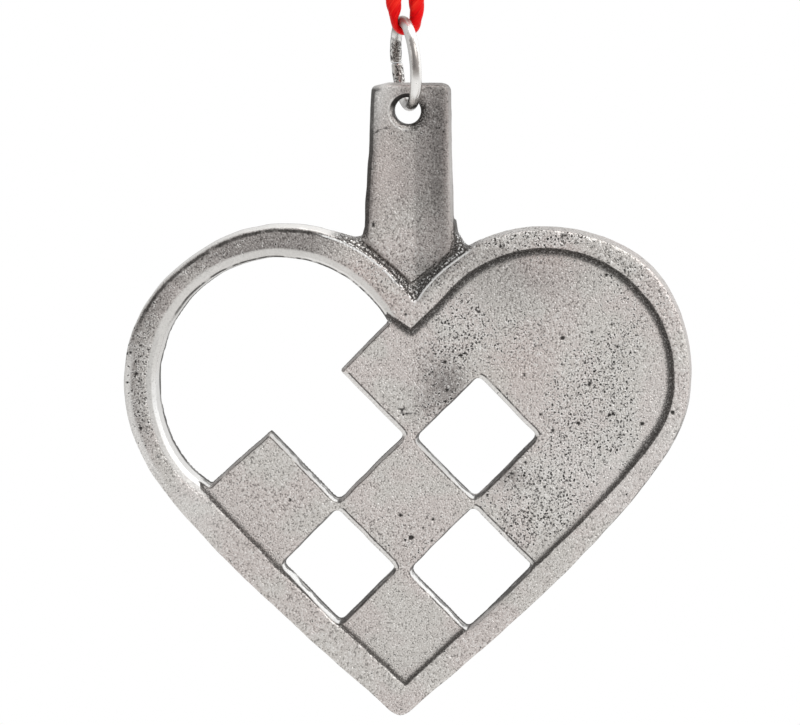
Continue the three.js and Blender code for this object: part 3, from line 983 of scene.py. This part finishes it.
def makeMetalGrain():
    tree, given, out = newGroup(
        "metalGrain",
        {"Vector": None, "Grain Size": 0.2, "Pit Spacing": 0.4, "Pit Share": 0.2},
        ("Height", "Tone", "Pits", "Rims"),
    )
    place = given["Vector"]
    perGrain = 1.0 / given["Grain Size"]
    grain = noiseAt(place, perGrain, 1.0) * 0.75 + noiseAt(place, perGrain * 0.4, 2.0, 0.5, 0.3) * 0.25
    wobble = noiseAt(place, perGrain, 1.0, output=1)
    bent = vectorMath("ADD", place, vectorMath("MULTIPLY", wobble, (0.26, 0.26, 0.26)))
    cells = addNode(tree, "ShaderNodeTexVoronoi", {"Vector": bent, "Scale": 1.0 / given["Pit Spacing"]})
    chance = addNode(tree, "ShaderNodeSeparateColor", {0: cells.other("Color")})
    chosen = given["Pit Share"] - chance
    beyond = cells.other("Distance") / (0.27 + most(chosen, 0.0) * 0.2)
    pits = remap(clamped(1.0 - beyond) * (chosen > 0.0), 0.0, 0.35)
    rims = band(beyond, 0.95, 1.15, 1.35, 1.7) * (chosen > 0.0)
    feed(out, {"Height": grain - pits * 0.6, "Tone": grain, "Pits": pits, "Rims": rims})
    return tree


metalGrain = makeMetalGrain()

# Pewter: light where it is rubbed and where highlights are painted, dark where the antiquing stays in steps, pits
# and low grain and where shade is painted

pewterLook = {
    "light": (0.675, 0.645, 0.61, 1),
    "warm": (0.675, 0.618, 0.59, 1),
    "rubbedAndHighlight": (0.90, 0.885, 0.86, 1),
    # The bright colour is a painted highlight for walls and edges that face the light.
    "bright": (0.93, 0.93, 0.92, 1),
    "bevel": (0.73, 0.715, 0.69, 1),
    # The wall colour is a painted shade for walls turned away from the light.
    "wall": (0.52, 0.51, 0.495, 1),
    "dark": (0.05, 0.047, 0.044, 1),
    "tarnishAndShade": (0.31, 0.286, 0.273, 1),
    "flush": (0.6, 0.5, 0.465, 1),
    "grainSize": 0.155,
    "pitSpacing": 0.29,
    "grainSoil": (0.54, 0.82),  # how much antiquing low grain keeps, on smooth and on sandy skin
    "wallShadeAmount": 0.45,
    "stepSoilAndShade": 0.88,
    "stepThick": 0.48,  # how far the dark of the step reaches into the field
    "stepThin": 0.2,
    "creviceSoil": 0.7,
    "bumpHeight": 0.12,
    "creviceReach": 0.4,  # how far out other metal still makes a crevice
    "ridgeReach": 0.2,
    "tabTarnish": 0.6,
    "tabEdgeShade": 0.8,
    # The next amount is painted shade on the left border, towards its outer edge.
    "outerShade": 0.55,  # on the left border, towards its outer edge
    "sandBase": 0.25,
    "sandSpots": [  # where the grain is coarse and dark: u, v, spread u, spread v, amount
        (18.4, 13.8, 2.4, 2.4, 0.5),
        (17.0, 8.8, 2.8, 3.4, 0.9),
        (14.6, 4.2, 3.0, 3.0, 0.95),
        (12.4, 0.2, 2.8, 2.6, 0.85),
        (9.5, -2.6, 2.4, 1.8, 0.55),
        (10.5, 23.0, 5.0, 1.4, 0.45),
        (18.5, 20.5, 2.5, 2.0, 0.3),
        (8.0, 14.5, 5.0, 3.5, 0.4),
        (4.0, 13.5, 2.0, 2.5, 0.5),
        (1.0, -4.0, 3.5, 3.5, 0.3),
        (3.0, 8.0, 2.5, 3.0, 0.5),
        (20.5, 18.0, 3.0, 3.0, 0.25),
        (-23.0, 12.0, 2.0, 6.0, 0.45),
        (-15.0, 20.0, 6.0, 3.0, 0.4),
        (0.4, 33.0, 4.0, 3.0, 0.45),
        (2.5, 27.0, 2.5, 6.0, 0.3),
        (0.5, 20.5, 4.0, 2.0, 0.6),
    ],
    # Dark patches, partly tarnish and partly painted shade.
    "tarnishAndShadeSpots": [  # u, v, spread u, spread v, amount
        (-13.0, 22.5, 6.5, 2.6, 1.0),
        (-21.5, 16.5, 3.0, 4.0, 0.45),
        (-24.0, 9.5, 1.5, 4.5, 0.45),
        (-11.5, 22.8, 4.0, 1.6, 0.4),
        (9.0, 21.0, 7.0, 2.5, 0.5),
        (3.9, 10.2, 1.6, 2.2, 0.9),
        (2.2, 11.4, 1.6, 2.0, 0.35),
        (5.4, 23.6, 1.0, 0.8, 1.0),
        (1.9, 8.6, 1.3, 1.3, 0.5),
        (-2.9, 34.4, 0.7, 2.2, 0.9),
        (2.7, 30.0, 0.9, 6.5, 0.45),
        (2.2, 33.6, 1.1, 1.1, 0.3),
        (9.2, 2.2, 1.4, 1.1, 0.7),
        (10.0, 18.0, 5.0, 2.5, 0.25),
        (0.8, 20.4, 2.6, 1.0, 0.3),
    ],
    "flushSpots": [
        (3.9, 29.0, 0.5, 7.0, 0.8),
        (-1.8, 29.0, 1.5, 5.5, 0.45),
        (-4.2, 19.6, 2.0, 2.0, 0.6),
        (9.5, 12.0, 3.0, 2.5, 0.35),
        (12.5, 21.5, 3.0, 1.5, 0.35),
        (-1.6, 17.4, 1.5, 1.5, 0.4),
    ],
    # Light patches, partly rubbed metal and partly painted highlight, as on the tab's right edge and the right
    # flank.
    "rubbedAndHighlightSpots": [
        (-1.6, 28.0, 0.8, 4.0, 0.15),
        (3.9, 29.5, 0.3, 6.0, 0.6),
        (22.5, 6.0, 2.0, 6.0, 0.25),
        (14.0, 3.0, 3.0, 3.0, 0.2),
        (-19.0, -1.0, 2.6, 3.0, 0.4),
        (18.5, 2.0, 2.0, 3.5, 0.3),
    ],
}


def spotMap(spots, u, v):
    total = np.zeros(len(u))
    for middleU, middleV, spreadU, spreadV, amount in spots:
        total += amount * np.exp(-(((u - middleU) / spreadU) ** 2) - ((v - middleV) / spreadV) ** 2)
    return np.clip(total, 0, 1)


# Masks for wear, antiquing, painted highlights and painted shade.
def storeWearAndShade(obj):
    look = pewterLook
    points = np.empty(len(obj.data.vertices) * 3)
    obj.data.vertices.foreach_get("co", points)
    points = points.reshape(-1, 3) / mm - np.array(castingLook["place"])
    u, y, v = points.T
    slope = gradientAt(points)
    normal = slope / np.maximum(np.linalg.norm(slope, axis=1), 1e-6)[:, None]
    outside = castingField(*(points + normal * look["creviceReach"]).T)
    within = castingField(*(points - normal * look["ridgeReach"]).T)
    tab, heart, hole, root = (sampled(name, u, v) for name in ("tab", "heart", "hole", "root"))
    onTab = eased(-tab, -0.1, 0.1) * eased(heart, -0.2, 0.4)
    # Tarnish, plus painted shade on the tab's left edge and towards the left border's outer edge.
    dullAndShade = spotMap(look["tarnishAndShadeSpots"], u, v) + look["tabTarnish"] * onTab * (1 - 0.8 * eased(-v, -27.0, -22.5))
    dullAndShade += look["tabEdgeShade"] * eased(tab, -0.9, -0.2) * eased(-u, 2.0, 2.8) * onTab
    dullAndShade += look["outerShade"] * eased(heart, -2.6, -0.2) * eased(-u, 2.0, 12.0) * eased(v, 1.0, 7.0)
    smooth = eased(heart, -2.6, -2.2) * eased(-v, -1.0, 4.0)
    sand = look["sandBase"] * (1 - 0.8 * smooth) + spotMap(look["sandSpots"], u, v) * (1 - 0.7 * smooth)
    aroundHole = np.arctan2(v - castingLook["hole"][1], u - castingLook["hole"][0])
    lobe = castingLook["leftLobe"]
    turned = np.degrees(np.arctan2(v - lobe[1], u - lobe[0])) % 360
    neckGleam = 0.25 * between(u, 5.0, 6.5, 9.0, 13.0) * eased(v, 20.0, 22.0)
    # Grime in the groove by the tab and beside the hole, with painted shade under the tab and along its left bevel.
    groove = eased(tab, 0.0, 0.15) * eased(heart, 0.0, 0.2) * eased(-root, -0.6, -0.2)
    underTab = 0.5 * eased(tab, -0.6, -0.05) * eased(-v, -23.0, -21.0) * onTab * eased(u, 0.4, 1.6)
    groove = np.maximum(0.6 * groove, underTab) * eased(v, 16.5, 18.0)
    leftBevel = 0.55 * eased(tab, -0.95, -0.5) * eased(-u, 2.0, 2.6) * eased(v, 23.5, 26.0) * onTab
    worn = eased(-hole, -1.15, -0.35) * eased(np.cos(aroundHole + math.radians(22)), 0.3, 0.8) * 0.95
    marks = {
        "crevice": np.clip(1 - outside / look["creviceReach"], 0, 1),
        "ridge": np.clip(1 + within / look["ridgeReach"], 0, 1),
        "faceFront": -normal[:, 1],
        "tarnishAndShade": np.clip(dullAndShade, 0, 1),
        "flush": spotMap(look["flushSpots"], u, v),
        "rubbedAndHighlight": spotMap(look["rubbedAndHighlightSpots"], u, v),
        "sand": sand * (1 - 0.5 * onTab),
        "holeShade": eased(np.cos(aroundHole - math.radians(118)), 0.4, 0.8) * onTab,
        "holeGlow": eased(np.cos(aroundHole - math.radians(205)), 0.1, 0.5) * onTab,
        # The left lobe's outer edge gleams, over a dark line along its top.
        "gleam": np.maximum(between(turned, 66, 74, 205, 222), neckGleam),
        "gleamLine": between(turned, 66, 74, 148, 172) * eased(-u, 2.0, 5.0),
        "paleEdge": between(turned, 162, 176, 208, 228),
        "chipped": eased(u, 15.0, 17.0) * eased(-v, -9.0, -6.0),
        # Casting crust stays between the tab and the lobes.
        "crust": eased(-v, -24.0, -23.5) * eased(v, 16.6, 17.4) * between(u, -6.8, -5.8, 5.8, 7.0),
        "lobeLine": between(u, -8.2, -7.2, -1.1, -0.5) * eased(v, 18.6, 19.4),
        "rightGroove": between(u, 0.6, 1.0, 5.2, 6.2) * eased(v, 17.2, 17.8),
        "tabLeft": eased(-u, 2.0, 2.4) * between(v, 22.6, 24.0, 36.0, 36.4) * onTab,
        "tabRight": eased(u, 2.6, 3.0) * eased(v, 23.0, 24.0) * onTab,
        "grimeAndShade": np.maximum.reduce([groove, leftBevel, worn]) * eased(-y, -0.8, 0.0),
    }
    for name, values in marks.items():
        storeAttribute(obj, name, values)


def makePewter():
    look = pewterLook
    material, tree, shader = newMaterial("antiquedPewter", {"Metallic": 1.0})
    place = inMillimetres(tree)

    def mask(name):
        return attributeOf(tree, name)

    sand = mask("sand")
    grainInputs = {
        "Vector": place,
        "Grain Size": look["grainSize"],
        "Pit Spacing": look["pitSpacing"],
        "Pit Share": remap(most(mask("densityEdge"), sand), 0.28, 0.9, 0.025, 0.9),
    }
    grain = placeGroup(tree, metalGrain, grainInputs)
    tone = grain["Tone"]
    broad = noiseAt(place, 0.22)
    patchy = noiseAt(place, 0.75, 3.0, 0.6)
    faceFront = mask("faceFront")
    front = remap(faceFront, 0.15, 0.35)
    colour = mixed(remap(broad, 0.42, 0.6), look["light"], look["warm"])
    # Tarnish and painted shade, as dark patches.
    tarnishAndShade = mask("tarnishAndShade") * remap(patchy, 0.25, 0.6, 0.85, 1.0)
    colour = mixed(tarnishAndShade, colour, look["tarnishAndShade"])
    colour = mixed(mask("flush"), colour, look["flush"])
    # Low grain keeps the antiquing, most of it where the skin is sandy; high grain is rubbed.
    heavy = clamped(sand * remap(patchy, 0.35, 0.62, 0.7, 1.25))
    low = remap(tone, 0.46 + heavy * 0.03, 0.36)
    low = low * remap(heavy, 0.05, 0.9, look["grainSoil"][0], look["grainSoil"][1], "LINEAR")
    high = remap(tone, 0.53, 0.63) * remap(tarnishAndShade, 0.0, 1.0, 0.55, 0.25)
    colour = mixed(high, colour, look["rubbedAndHighlight"])
    colour = mixed(grain["Rims"] * 0.6, colour, look["rubbedAndHighlight"])
    colour = mixed(low, colour, look["dark"])
    # Painted shade: outer walls are darker than the face.
    wall = remap(faceFront, 0.6, 0.25, 0.0, look["wallShadeAmount"])
    colour = mixed(wall, colour, look["tarnishAndShade"])
    # Rubbed patches and painted highlights.
    colour = mixed(mask("rubbedAndHighlight"), colour, look["rubbedAndHighlight"])
    outer, holeAway, tabAway = (mask(name) for name in ("heartEdge", "holeEdge", "tabEdge"))
    gleam = mask("gleam") * remap(outer, -0.36, -0.2, 0.0, 0.9)
    pale = mask("paleEdge") * remap(outer, -1.0, -0.6, 0.0, 0.8)
    lip = remap(holeAway, 0.36, 0.42) * remap(holeAway, 0.6, 0.5, 0.0, 0.6) * mask("holeGlow")
    colour = mixed(most(gleam, pale, lip), colour, look["rubbedAndHighlight"])
    # The step down to the field, antiquing and painted shade: crisp at the border, fading into the field, thin on
    # the straight sides.
    edge = mask("fieldEdge")
    ragged = edge + remap(tone, 0.3, 0.7, -0.3, 0.3, "LINEAR")
    thick = remap(mask("heightV"), -1.0, 6.0, look["stepThin"], look["stepThick"])
    stepBand = remap(edge, 0.24, 0.14) * remap(ragged + thick, -0.12, 0.1) * front
    soilAndShade = stepBand * remap(tone, 0.64, 0.5, 0.7 * look["stepSoilAndShade"], look["stepSoilAndShade"])
    crevice = remap(mask("crevice"), 0.12, 0.5) * remap(mask("crust"), 0.0, 1.0, 1.0, 0.4)
    soilAndShade = most(soilAndShade, crevice * look["creviceSoil"])
    soilAndShade = most(soilAndShade, mask("grimeAndShade") * remap(tone, 0.6, 0.45, 0.62, 1.0))
    gleamLine = band(outer, -0.72, -0.56, -0.42, -0.32) * remap(patchy, 0.3, 0.5, 0.35, 0.8)
    soilAndShade = most(soilAndShade, gleamLine * mask("gleamLine"))
    soilAndShade = most(soilAndShade, remap(mask("depthY"), 0.5, 0.8, 0.0, 0.5) * mask("gleam"))
    # Painted shade in a crescent at the hole's upper left and on the hole's wall.
    shade = remap(holeAway, 0.4, 0.32, 0.0, 0.97) * mask("holeShade")
    soilAndShade = most(soilAndShade, shade, remap(holeAway, 0.16, 0.06, 0.0, 0.7))
    raggedTab = tabAway + remap(tone, 0.35, 0.65, 0.35, -0.35, "LINEAR")
    crusted = remap(outer, -0.45, -0.33) * remap(raggedTab, -0.2, 0.0) * mask("crust")
    soilAndShade = most(soilAndShade, crusted * remap(tone, 0.56, 0.45, 0.1, 0.8))
    # Dark in the groove beside the right lobe, antiquing and painted shade, with a soft painted shade beyond it.
    rightGroove = mask("rightGroove")
    deep = remap(tabAway, -0.12, 0.02) * remap(outer, -0.44, -0.34, 0.0, 0.85)
    deep = most(deep, remap(outer, -1.3, -0.5, 0.0, 0.35))
    soilAndShade = most(soilAndShade, deep * rightGroove)
    chips = remap(outer, -0.34, -0.2) * remap(patchy, 0.42, 0.5, 0.0, 0.7)
    soilAndShade = most(soilAndShade, chips * mask("chipped"))
    # Painted shade along the tab's left bevel and on its right side.
    side = remap(tabAway, -0.58, -0.46) * remap(patchy, 0.3, 0.5, 0.62, 0.85)
    soilAndShade = most(soilAndShade, side * mask("tabLeft"))
    soilAndShade = most(soilAndShade, remap(tabAway, -0.2, -0.1, 0.0, 0.4) * mask("tabRight"))
    pits = grain["Pits"] * remap(patchy, 0.3, 0.55, 0.6, 1.0)
    pits = most(pits, remap(mask("pitsEdge"), 0.01, 0.06))
    soilAndShade = most(soilAndShade, pits * 0.97)
    # Edges that stand proud are rubbed bright.
    proud = mask("ridge")
    ridge = remap(proud, 0.3, 0.6) * remap(patchy, 0.35, 0.6, 0.3, 1.0)
    colour = mixed(ridge * 0.6, colour, look["rubbedAndHighlight"])
    away, depth = mask("cellsEdge"), mask("depthY")
    sideP, sideQ = mask("cellsP"), mask("cellsQ")
    # The bevel round the big opening is smooth on the border and brightest at its lower left, a painted highlight
    # with painted shade beyond it, and thin painted shade lines run along its upper side.
    onRim = remap(edge, 0.05, 0.2)
    toOpening = mask("openingEdge")
    bevel = remap(toOpening, 1.12, 0.85) * onRim
    farther = remap(sideP, -0.3, -0.7) * remap(toOpening, 0.5, 0.62, 0.0, 0.8)
    glint = remap(sideP, -0.6, -0.85) * remap(toOpening, 0.62, 0.5)
    bevelTone = mixed(farther, look["bevel"], look["wall"])
    bevelTone = mixed(glint, bevelTone, look["bright"])
    colour = mixed(bevel * 0.85, colour, bevelTone)
    soilAndShade = soilAndShade * (1.0 - bevel * 0.85)
    bevelLine = band(toOpening, 1.0, 1.06, 1.12, 1.2) * remap(sideP, -0.5, 0.3, 0.0, 0.12)
    above = remap(sideP, -0.35, -0.1) * remap(sideQ, -0.35, -0.2)
    innerLine = band(toOpening, 0.12, 0.18, 0.28, 0.36) * remap(patchy, 0.4, 0.52, 0.15, 0.85)
    rimLine = most(innerLine, remap(toOpening, 0.1, 0.02, 0.0, 0.6))
    bevelLine = most(bevelLine, rimLine * above) * onRim
    # Painted light on each square: a highlight strip up its upper right side, a bright lower left wall as painted
    # highlight, and painted shade on the dark lower right one.
    inField = remap(edge, 0.3, 0.2)
    upperRight, lowerLeft = remap(sideP, 0.75, 0.85), remap(sideP, -0.6, -0.8)
    upperLeft, lowerRight = remap(sideQ, 0.7, 0.85), remap(sideQ, -0.55, -0.75)
    strip = remap(away, 0.52, 0.45) * upperRight
    colour = mixed(strip * 0.75, colour, look["rubbedAndHighlight"])
    parting = depth + remap(patchy, 0.3, 0.7, -0.5, 0.5, "LINEAR")
    wallTone = mixed(remap(parting, 0.1, 0.3), look["bright"], look["wall"])
    wallTone = mixed(remap(mask("heightV"), 0.0, 3.0, 0.0, 0.75), wallTone, look["wall"])
    bright = remap(away, 0.24, 0.16) * lowerLeft
    colour = mixed(bright * 0.9, colour, wallTone)
    stripLine = band(away, 0.66, 0.58, 0.54, 0.46) * upperRight * 0.88
    rimLine = band(away, 0.36, 0.28, 0.26, 0.18) * most(lowerLeft, lowerRight) * 0.88
    partLine = band(parting, -0.25, 0.0, 0.25, 0.5) * remap(away, 0.24, 0.18) * lowerLeft
    lowerRightShade = remap(away, 0.34, 0.24) * lowerRight * remap(mask("windowsEdge"), 1.2, 1.0, 0.35, 0.85)
    thinLine = remap(away, 0.26, 0.16) * upperLeft * 0.75
    broken = remap(patchy, 0.32, 0.5, 0.35, 1.0)
    lines = most(stripLine, rimLine, partLine * 0.7)
    lines = most(lines, lowerRightShade, thinLine)
    lines = most(lines * broken * inField, bevelLine)
    # A dark line follows every opening where its wall ends at the back.
    backLine = remap(depth, 0.2, 0.5) * remap(away, 0.3, 0.2)
    lines = most(lines, backLine * broken * 0.9)
    soilAndShade = most(soilAndShade, lines)
    colour = mixed(soilAndShade, colour, look["dark"])
    # A painted highlight, a bright broken line, follows the left lobe's edge by the tab, and specks shine in the
    # crust.
    lobeLine = band(outer, -0.58, -0.52, -0.42, -0.36) * mask("lobeLine") * remap(patchy, 0.36, 0.5)
    specks = crusted * remap(tone, 0.57, 0.61)
    rightLine = remap(outer, -0.48, -0.42) * remap(outer, -0.26, -0.32, 0.0, 0.85)
    lobeLine = most(lobeLine, rightLine * rightGroove)
    colour = mixed(most(lobeLine, specks) * 0.85, colour, look["bright"])
    roughness = remap(tone, 0.35, 0.65, 0.5, 0.36) + soilAndShade * 0.25
    roughness = roughness - ridge * 0.12
    calm = most(remap(proud, 0.05, 0.4), bevel)
    strength = 1.0 - calm * 0.85
    values = {"Height": grain["Height"], "Strength": strength, "Distance": look["bumpHeight"] * mm}
    bump = addNode(tree, "ShaderNodeBump", values)
    feed(shader, {"Base Color": colour, "Roughness": roughness, "Normal": bump})
    return material


storeWearAndShade(pewterHeart)
wear(pewterHeart, makePewter())
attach(pewterHeart, "root")
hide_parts("heart_casting")
print("ornament: pewter finished")

# Ring finish

ringFinish = {
    "silver": (0.86, 0.845, 0.82, 1),
    # The two darker greys after silver are painted: a dark reflection down the wire and shade at its edges.
    "dullAndShade": (0.24, 0.21, 0.19, 1),
    "edge": (0.50, 0.47, 0.45, 1),
    "scratched": (0.07, 0.06, 0.055, 1),
    "seam": (0.06, 0.055, 0.05, 1),
    "underCordShade": (0.27, 0.23, 0.2, 1),
    "grain": {"Grain Size": 0.5, "Pit Spacing": 0.9, "Pit Share": 0.12},
    "bumpHeight": 0.03,
}


def makeRingMetal():
    look = ringFinish
    material, tree, shader = newMaterial("brightWire", {"Metallic": 1.0})
    place = inMillimetres(tree)
    grain = placeGroup(tree, metalGrain, {"Vector": place, **look["grain"]})
    fromSeam = attributeOf(tree, "fromSeam")
    facing = addNode(tree, "ShaderNodeLayerWeight", {"Blend": 0.5}, "Facing")
    marks = noiseAt(place, 2.6, 4.0, 0.65, 1.5)
    # Painted reflection: a dark stripe down the middle of the wire, where it faces the camera.
    middle = facing + remap(marks, 0.3, 0.7, -0.1, 0.1, "LINEAR")
    middle = remap(middle, 0.3, 0.1)
    darkReflection = middle * attributeOf(tree, "reflectionZone") * 0.8
    colour = mixed(darkReflection, look["silver"], look["dullAndShade"])
    # Painted shade where the cord lies over the ring.
    underCord = attributeOf(tree, "underCord")
    colour = mixed(underCord * 0.9, colour, look["underCordShade"])
    # Painted shade at the wire's edges, where it turns from the camera.
    outer = remap(facing, 0.62, 0.86) * 0.8
    colour = mixed(outer, colour, look["edge"])
    gripped = remap(fromSeam, 3.4, 1.8) * remap(marks, 0.48, 0.53)
    gripped = gripped * remap(fromSeam, 0.1, 0.35)
    colour = mixed(gripped * 0.95, colour, look["scratched"])
    colour = mixed(remap(fromSeam, 0.09, 0.02), colour, look["seam"])
    height = grain["Tone"] * 0.15 - gripped
    bump = addNode(tree, "ShaderNodeBump", {"Height": height, "Strength": 0.4, "Distance": look["bumpHeight"] * mm})
    roughness = remap(grain["Tone"], 0.3, 0.7, 0.16, 0.28) + underCord * 0.25
    feed(shader, {"Base Color": colour, "Roughness": roughness, "Normal": bump})
    return material


wear(wireRing, makeRingMetal())
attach(wireRing, "root")
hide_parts("jump_ring")
print("ornament: ring finished")

# Cord finish: satin fibres that follow the strands

cordFinish = {
    "red": (0.76, 0.003, 0.006, 1),
    "bright": (0.95, 0.045, 0.025, 1),
    # The deep colour is painted shade for the valleys between the strands.
    "deep": (0.34, 0.0, 0.004, 1),
    "fibres": 30.0,
}


def makeFibreGroup():
    inputs = {"Along": 0.0, "Turned": 0.0, "Fibres": 30.0}
    tree, given, out = newGroup("satinFibres", inputs, ("Height", "Tone"))
    along, turned = given["Along"], given["Turned"]

    def spread(x, y, z):
        return addNode(tree, "ShaderNodeCombineXYZ", {"X": x, "Y": y, "Z": z})

    lines = noiseAt(spread(turned * given["Fibres"], along * 0.5, 0.0), 1.0, 3.0, 0.6, 0.3)
    slow = noiseAt(spread(turned * 3.0, along * 0.35, 3.0), 1.0)
    feed(out, {"Height": lines, "Tone": lines * 0.5 + slow * 0.5})
    return tree


satinFibres = makeFibreGroup()


def makeSatin(name, bumpHeight, deepShare):
    look = cordFinish
    material, tree, shader = newMaterial(
        name,
        {"Sheen Weight": 0.06, "Sheen Roughness": 0.35, "Sheen Tint": (1, 0.2, 0.12, 1),
         "Specular IOR Level": 0.16, "Specular Tint": (1, 0.35, 0.25, 1)},
    )
    fibres = placeGroup(
        tree,
        satinFibres,
        {"Along": attributeOf(tree, "along"), "Turned": attributeOf(tree, "turned"), "Fibres": look["fibres"]},
    )
    colour = mixed(remap(fibres["Tone"], 0.5, 0.68), look["red"], look["bright"])
    # Painted shade in the valleys between the strands.
    valley = remap(attributeOf(tree, "valley"), 0.45, 1.0, 0.0, deepShare)
    colour = mixed(valley, colour, look["deep"])
    values = {"Height": fibres["Height"], "Strength": 0.8, "Distance": bumpHeight * mm}
    bump = addNode(tree, "ShaderNodeBump", values)
    roughness = remap(fibres["Tone"], 0.3, 0.7, 0.5, 0.34)
    feed(shader, {"Base Color": colour, "Roughness": roughness, "Normal": bump})
    return material


wear(cordLoop, makeSatin("redSatinCord", 0.05, 0.55))
wear(overhandKnot, makeSatin("redSatinKnot", 0.06, 0.7))
for piece, node in ((cordLoop, "hanging_cord"), (overhandKnot, "cord_knot")):
    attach(piece, "root")
    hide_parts(node)
print("ornament: cord finished")

# Floor, backdrop and light

stageLook = {
    "floorDrop": -420.0,
    "floorRadius": 1500.0,
    "floor": (0.86, 0.86, 0.86, 1),
}


def makeFloor():
    look = stageLook
    count = 96
    rim = [
        (look["floorRadius"] * math.cos(a), look["floorRadius"] * math.sin(a), look["floorDrop"])
        for a in np.arange(count) / count * 2 * math.pi
    ]
    floor = meshObject("floor", np.array(rim) * mm, [tuple(range(count))], smooth=False)
    material, tree, shader = newMaterial("paleFloor", {"Base Color": look["floor"], "Roughness": 0.7})
    wear(floor, material)


makeFloor()

lightLook = [  # name, place, size, watts, turned to
    ("keySoftbox", (300, -380, 260), 300, 0.5),
    ("fillSoftbox", (-420, -300, 40), 300, 0.15),
    ("topSoftbox", (60, -40, 420), 360, 0.4),
]


def makeLights():
    middle = Vector((0, 0, -85)) * mm
    for name, place, size, watts in lightLook:
        data = bpy.data.lights.new(name, "AREA")
        data.shape = "SQUARE"
        data.size = size * mm
        data.energy = watts
        light = bpy.data.objects.new(name, data)
        light.location = Vector(place) * mm
        light.rotation_mode = "QUATERNION"
        light.rotation_quaternion = (light.location - middle).to_track_quat("Z", "Y")
        scene.collection.objects.link(light)


worldLook = {"front": 0.7, "below": 0.7, "over": 1.15, "left": 0.58, "right": 1.2}  # how bright each way shines


def makeWorld():
    world = bpy.data.worlds.new("studio")
    world.use_nodes = True
    tree = world.node_tree
    tree.nodes.clear()
    look = worldLook
    parts = addNode(tree, "ShaderNodeSeparateXYZ", {0: addNode(tree, "ShaderNodeTexCoord", None, "Generated")})
    frontDim = remap(parts.other("Y"), -0.98, -0.5, look["front"], 1.0)
    upward = remap(parts.other("Z"), -0.7, 0.7, look["below"], look["over"])
    sideways = remap(parts.other("X"), -0.7, 0.7, look["left"], look["right"])
    lit, seen = (
        addNode(tree, "ShaderNodeBackground", {"Color": (1, 1, 1, 1), "Strength": strength})
        for strength in (frontDim * upward * sideways, 1.0)
    )
    fromCamera = addNode(tree, "ShaderNodeLightPath", None, "Is Camera Ray")
    choose = addNode(tree, "ShaderNodeMixShader", {0: fromCamera, 1: lit, 2: seen})
    feed(tree.nodes.new("ShaderNodeOutputWorld"), {"Surface": choose})
    scene.world = world


makeLights()
makeWorld()
scene.view_settings.view_transform = "Standard"
print("ornament: stage and light ready")
